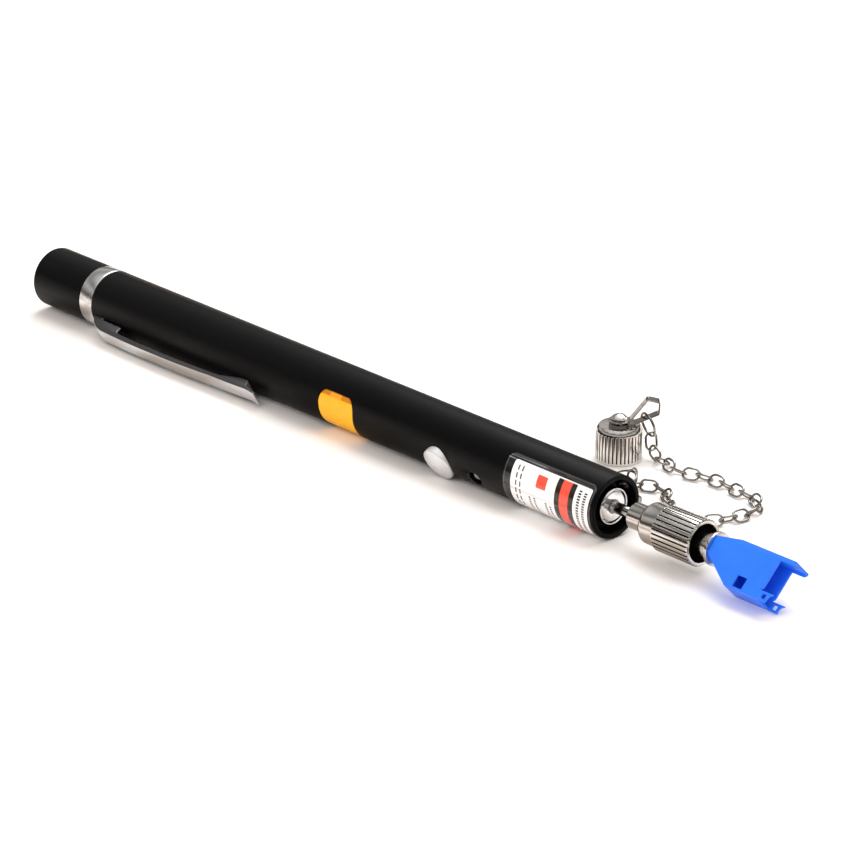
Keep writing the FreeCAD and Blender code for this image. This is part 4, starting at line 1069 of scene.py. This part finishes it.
@dataclass
class Studio:
    """Pale floor, soft lamps and the camera."""

    camera_mm: Point = (584.17, -632.75, 385.2)
    target_mm: Point = (-101.05, 0.0, 0.78)
    lens_mm: float = 196.9
    sensor_mm: float = 36.0
    far: float = 20.0
    floor_size: float = 6.0
    floor_drop_mm: float = 0.02
    blur_mm: float = 22.0
    blur_span: tuple[float, float] = (0.42, 0.58)
    room_strength: float = 0.75
    mirror_strength: float = 0.8
    lamps: tuple[SoftBox, ...] = (
        SoftBox("key", (-0.35, 0.75, 1.5), 1.6, 28.0),
        SoftBox("fill", (0.2, -1.3, 1.1), 1.0, 8.0, mirrored=False),
    )

    def floor(self) -> None:
        """Lay a wide matt floor just under the pen."""
        low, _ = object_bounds()
        drop = self.floor_drop_mm * MM
        bpy.ops.object.select_all(action="DESELECT")
        bpy.ops.mesh.primitive_plane_add(size=self.floor_size, location=(0.0, 0.0, low[2] - drop))
        floor = bpy.context.object
        floor.name = "floor"
        floor.data.materials.append(self.paper())
        floor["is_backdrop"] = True

    def paper(self) -> bpy.types.Material:
        """Make the floor's matt white sheet, which polished parts see as unevenly lit.

        Returns:
            The material.
        """
        material = bpy.data.materials.new("paper_sheet_matt")
        material.use_nodes = True
        tree = material.node_tree
        shader = tree.nodes["Principled BSDF"]
        white, shade = linear(SHEET_WHITE), linear(SHEET_SHADE)
        for socket, value in {"Base Color": white, "Roughness": 0.9, "Specular IOR Level": 0.1}.items():
            shader.inputs[socket].default_value = value
        spot = add_node(tree, "ShaderNodeTexCoord").outputs["Object"]
        cells = {"Vector": spot, "Scale": 1 / (self.blur_mm * MM), "Detail": 1.0}
        noise = add_node(tree, "ShaderNodeTexNoise", cells).outputs["Fac"]
        span = {"Value": noise, "From Min": self.blur_span[0], "From Max": self.blur_span[1]}
        spread = add_node(tree, "ShaderNodeMapRange", span).outputs["Result"]
        colors = {0: spread, MIX_LOW: shade, MIX_HIGH: white}
        seen = add_node(tree, "ShaderNodeMix", colors, data_type="RGBA").outputs[MIX_COLOR]
        glossy = add_node(tree, "ShaderNodeLightPath").outputs["Is Glossy Ray"]
        colors = {0: glossy, MIX_LOW: white, MIX_HIGH: seen}
        color = add_node(tree, "ShaderNodeMix", colors, data_type="RGBA").outputs[MIX_COLOR]
        tree.links.new(color, shader.inputs["Base Color"])
        return material

    def world(self) -> None:
        """Show white to the camera, warm and dim light to matt faces, and bands to polished ones."""
        world = bpy.data.worlds.new("studio")
        bpy.context.scene.world = world
        world.use_nodes = True
        tree = world.node_tree
        tree.nodes.clear()
        ray = add_node(tree, "ShaderNodeLightPath").outputs
        way = add_node(tree, "ShaderNodeTexCoord").outputs["Generated"]
        height = add_node(tree, "ShaderNodeSeparateXYZ", {0: way}).outputs["Z"]
        bands = add_node(tree, "ShaderNodeValToRGB", {"Fac": height})
        stops = bands.color_ramp.elements
        for stop, (position, color) in zip(stops, (BANDS[0], BANDS[-1])):
            stop.position = position
            stop.color = linear(color)
        for position, color in BANDS[1:-1]:
            stops.new(position).color = linear(color)
        light = [
            add_node(tree, "ShaderNodeBackground", {"Color": color, "Strength": strength}).outputs[0]
            for color, strength in (
                (linear(ROOM_WARM), self.room_strength),
                (bands.outputs["Color"], self.mirror_strength),
                (linear(ROOM_WHITE), 1.0),
            )
        ]
        seen = light[0]
        for kind, other in (("Is Glossy Ray", light[1]), ("Is Camera Ray", light[2])):
            seen = add_node(tree, "ShaderNodeMixShader", {0: ray[kind], 1: seen, 2: other}).outputs[0]
        add_node(tree, "ShaderNodeOutputWorld", {"Surface": seen})

    def place(self, name: str, data: bpy.types.ID, spot: Vector) -> bpy.types.Object:
        """Stand a lamp or the camera somewhere and turn it to the pen.

        Args:
            name: The new object's name.
            data: The lamp or camera.
            spot: Where it stands, in metres.

        Returns:
            The new object.
        """
        stand = bpy.data.objects.new(name, data)
        bpy.context.scene.collection.objects.link(stand)
        stand.location = spot
        aim = Vector(self.target_mm) * MM - spot
        stand.rotation_euler = aim.to_track_quat("-Z", "Y").to_euler()
        return stand

    def lamp(self, box: SoftBox) -> None:
        """Hang one soft lamp.

        Args:
            box: Its place, size and power.
        """
        data = bpy.data.lights.new(box.name, "AREA")
        data.size = box.size
        data.energy = box.power
        self.place(box.name, data, Vector(box.spot)).visible_glossy = box.mirrored

    def camera(self) -> None:
        """Stand the camera at the fitted place."""
        data = bpy.data.cameras.new("camera")
        data.sensor_width = self.sensor_mm
        data.lens = self.lens_mm
        data.clip_end = self.far
        bpy.context.scene.camera = self.place("camera", data, Vector(self.camera_mm) * MM)

    def build(self) -> None:
        """Set up the studio and the view transform."""
        self.camera()
        self.floor()
        self.world()
        for box in self.lamps:
            self.lamp(box)
        bpy.context.scene.view_settings.view_transform = "Standard"


def main() -> None:
    """Build the studio and every sub-assembly."""
    logging.basicConfig(level=logging.INFO, format="%(message)s")
    Studio().build()
    for part in (PenBody(), Clip(), FrontEnd(), DustCap(), Tether()):
        part.build()
        LOG.info("built %s", type(part).__name__)


if __name__ == "__main__":
    main()
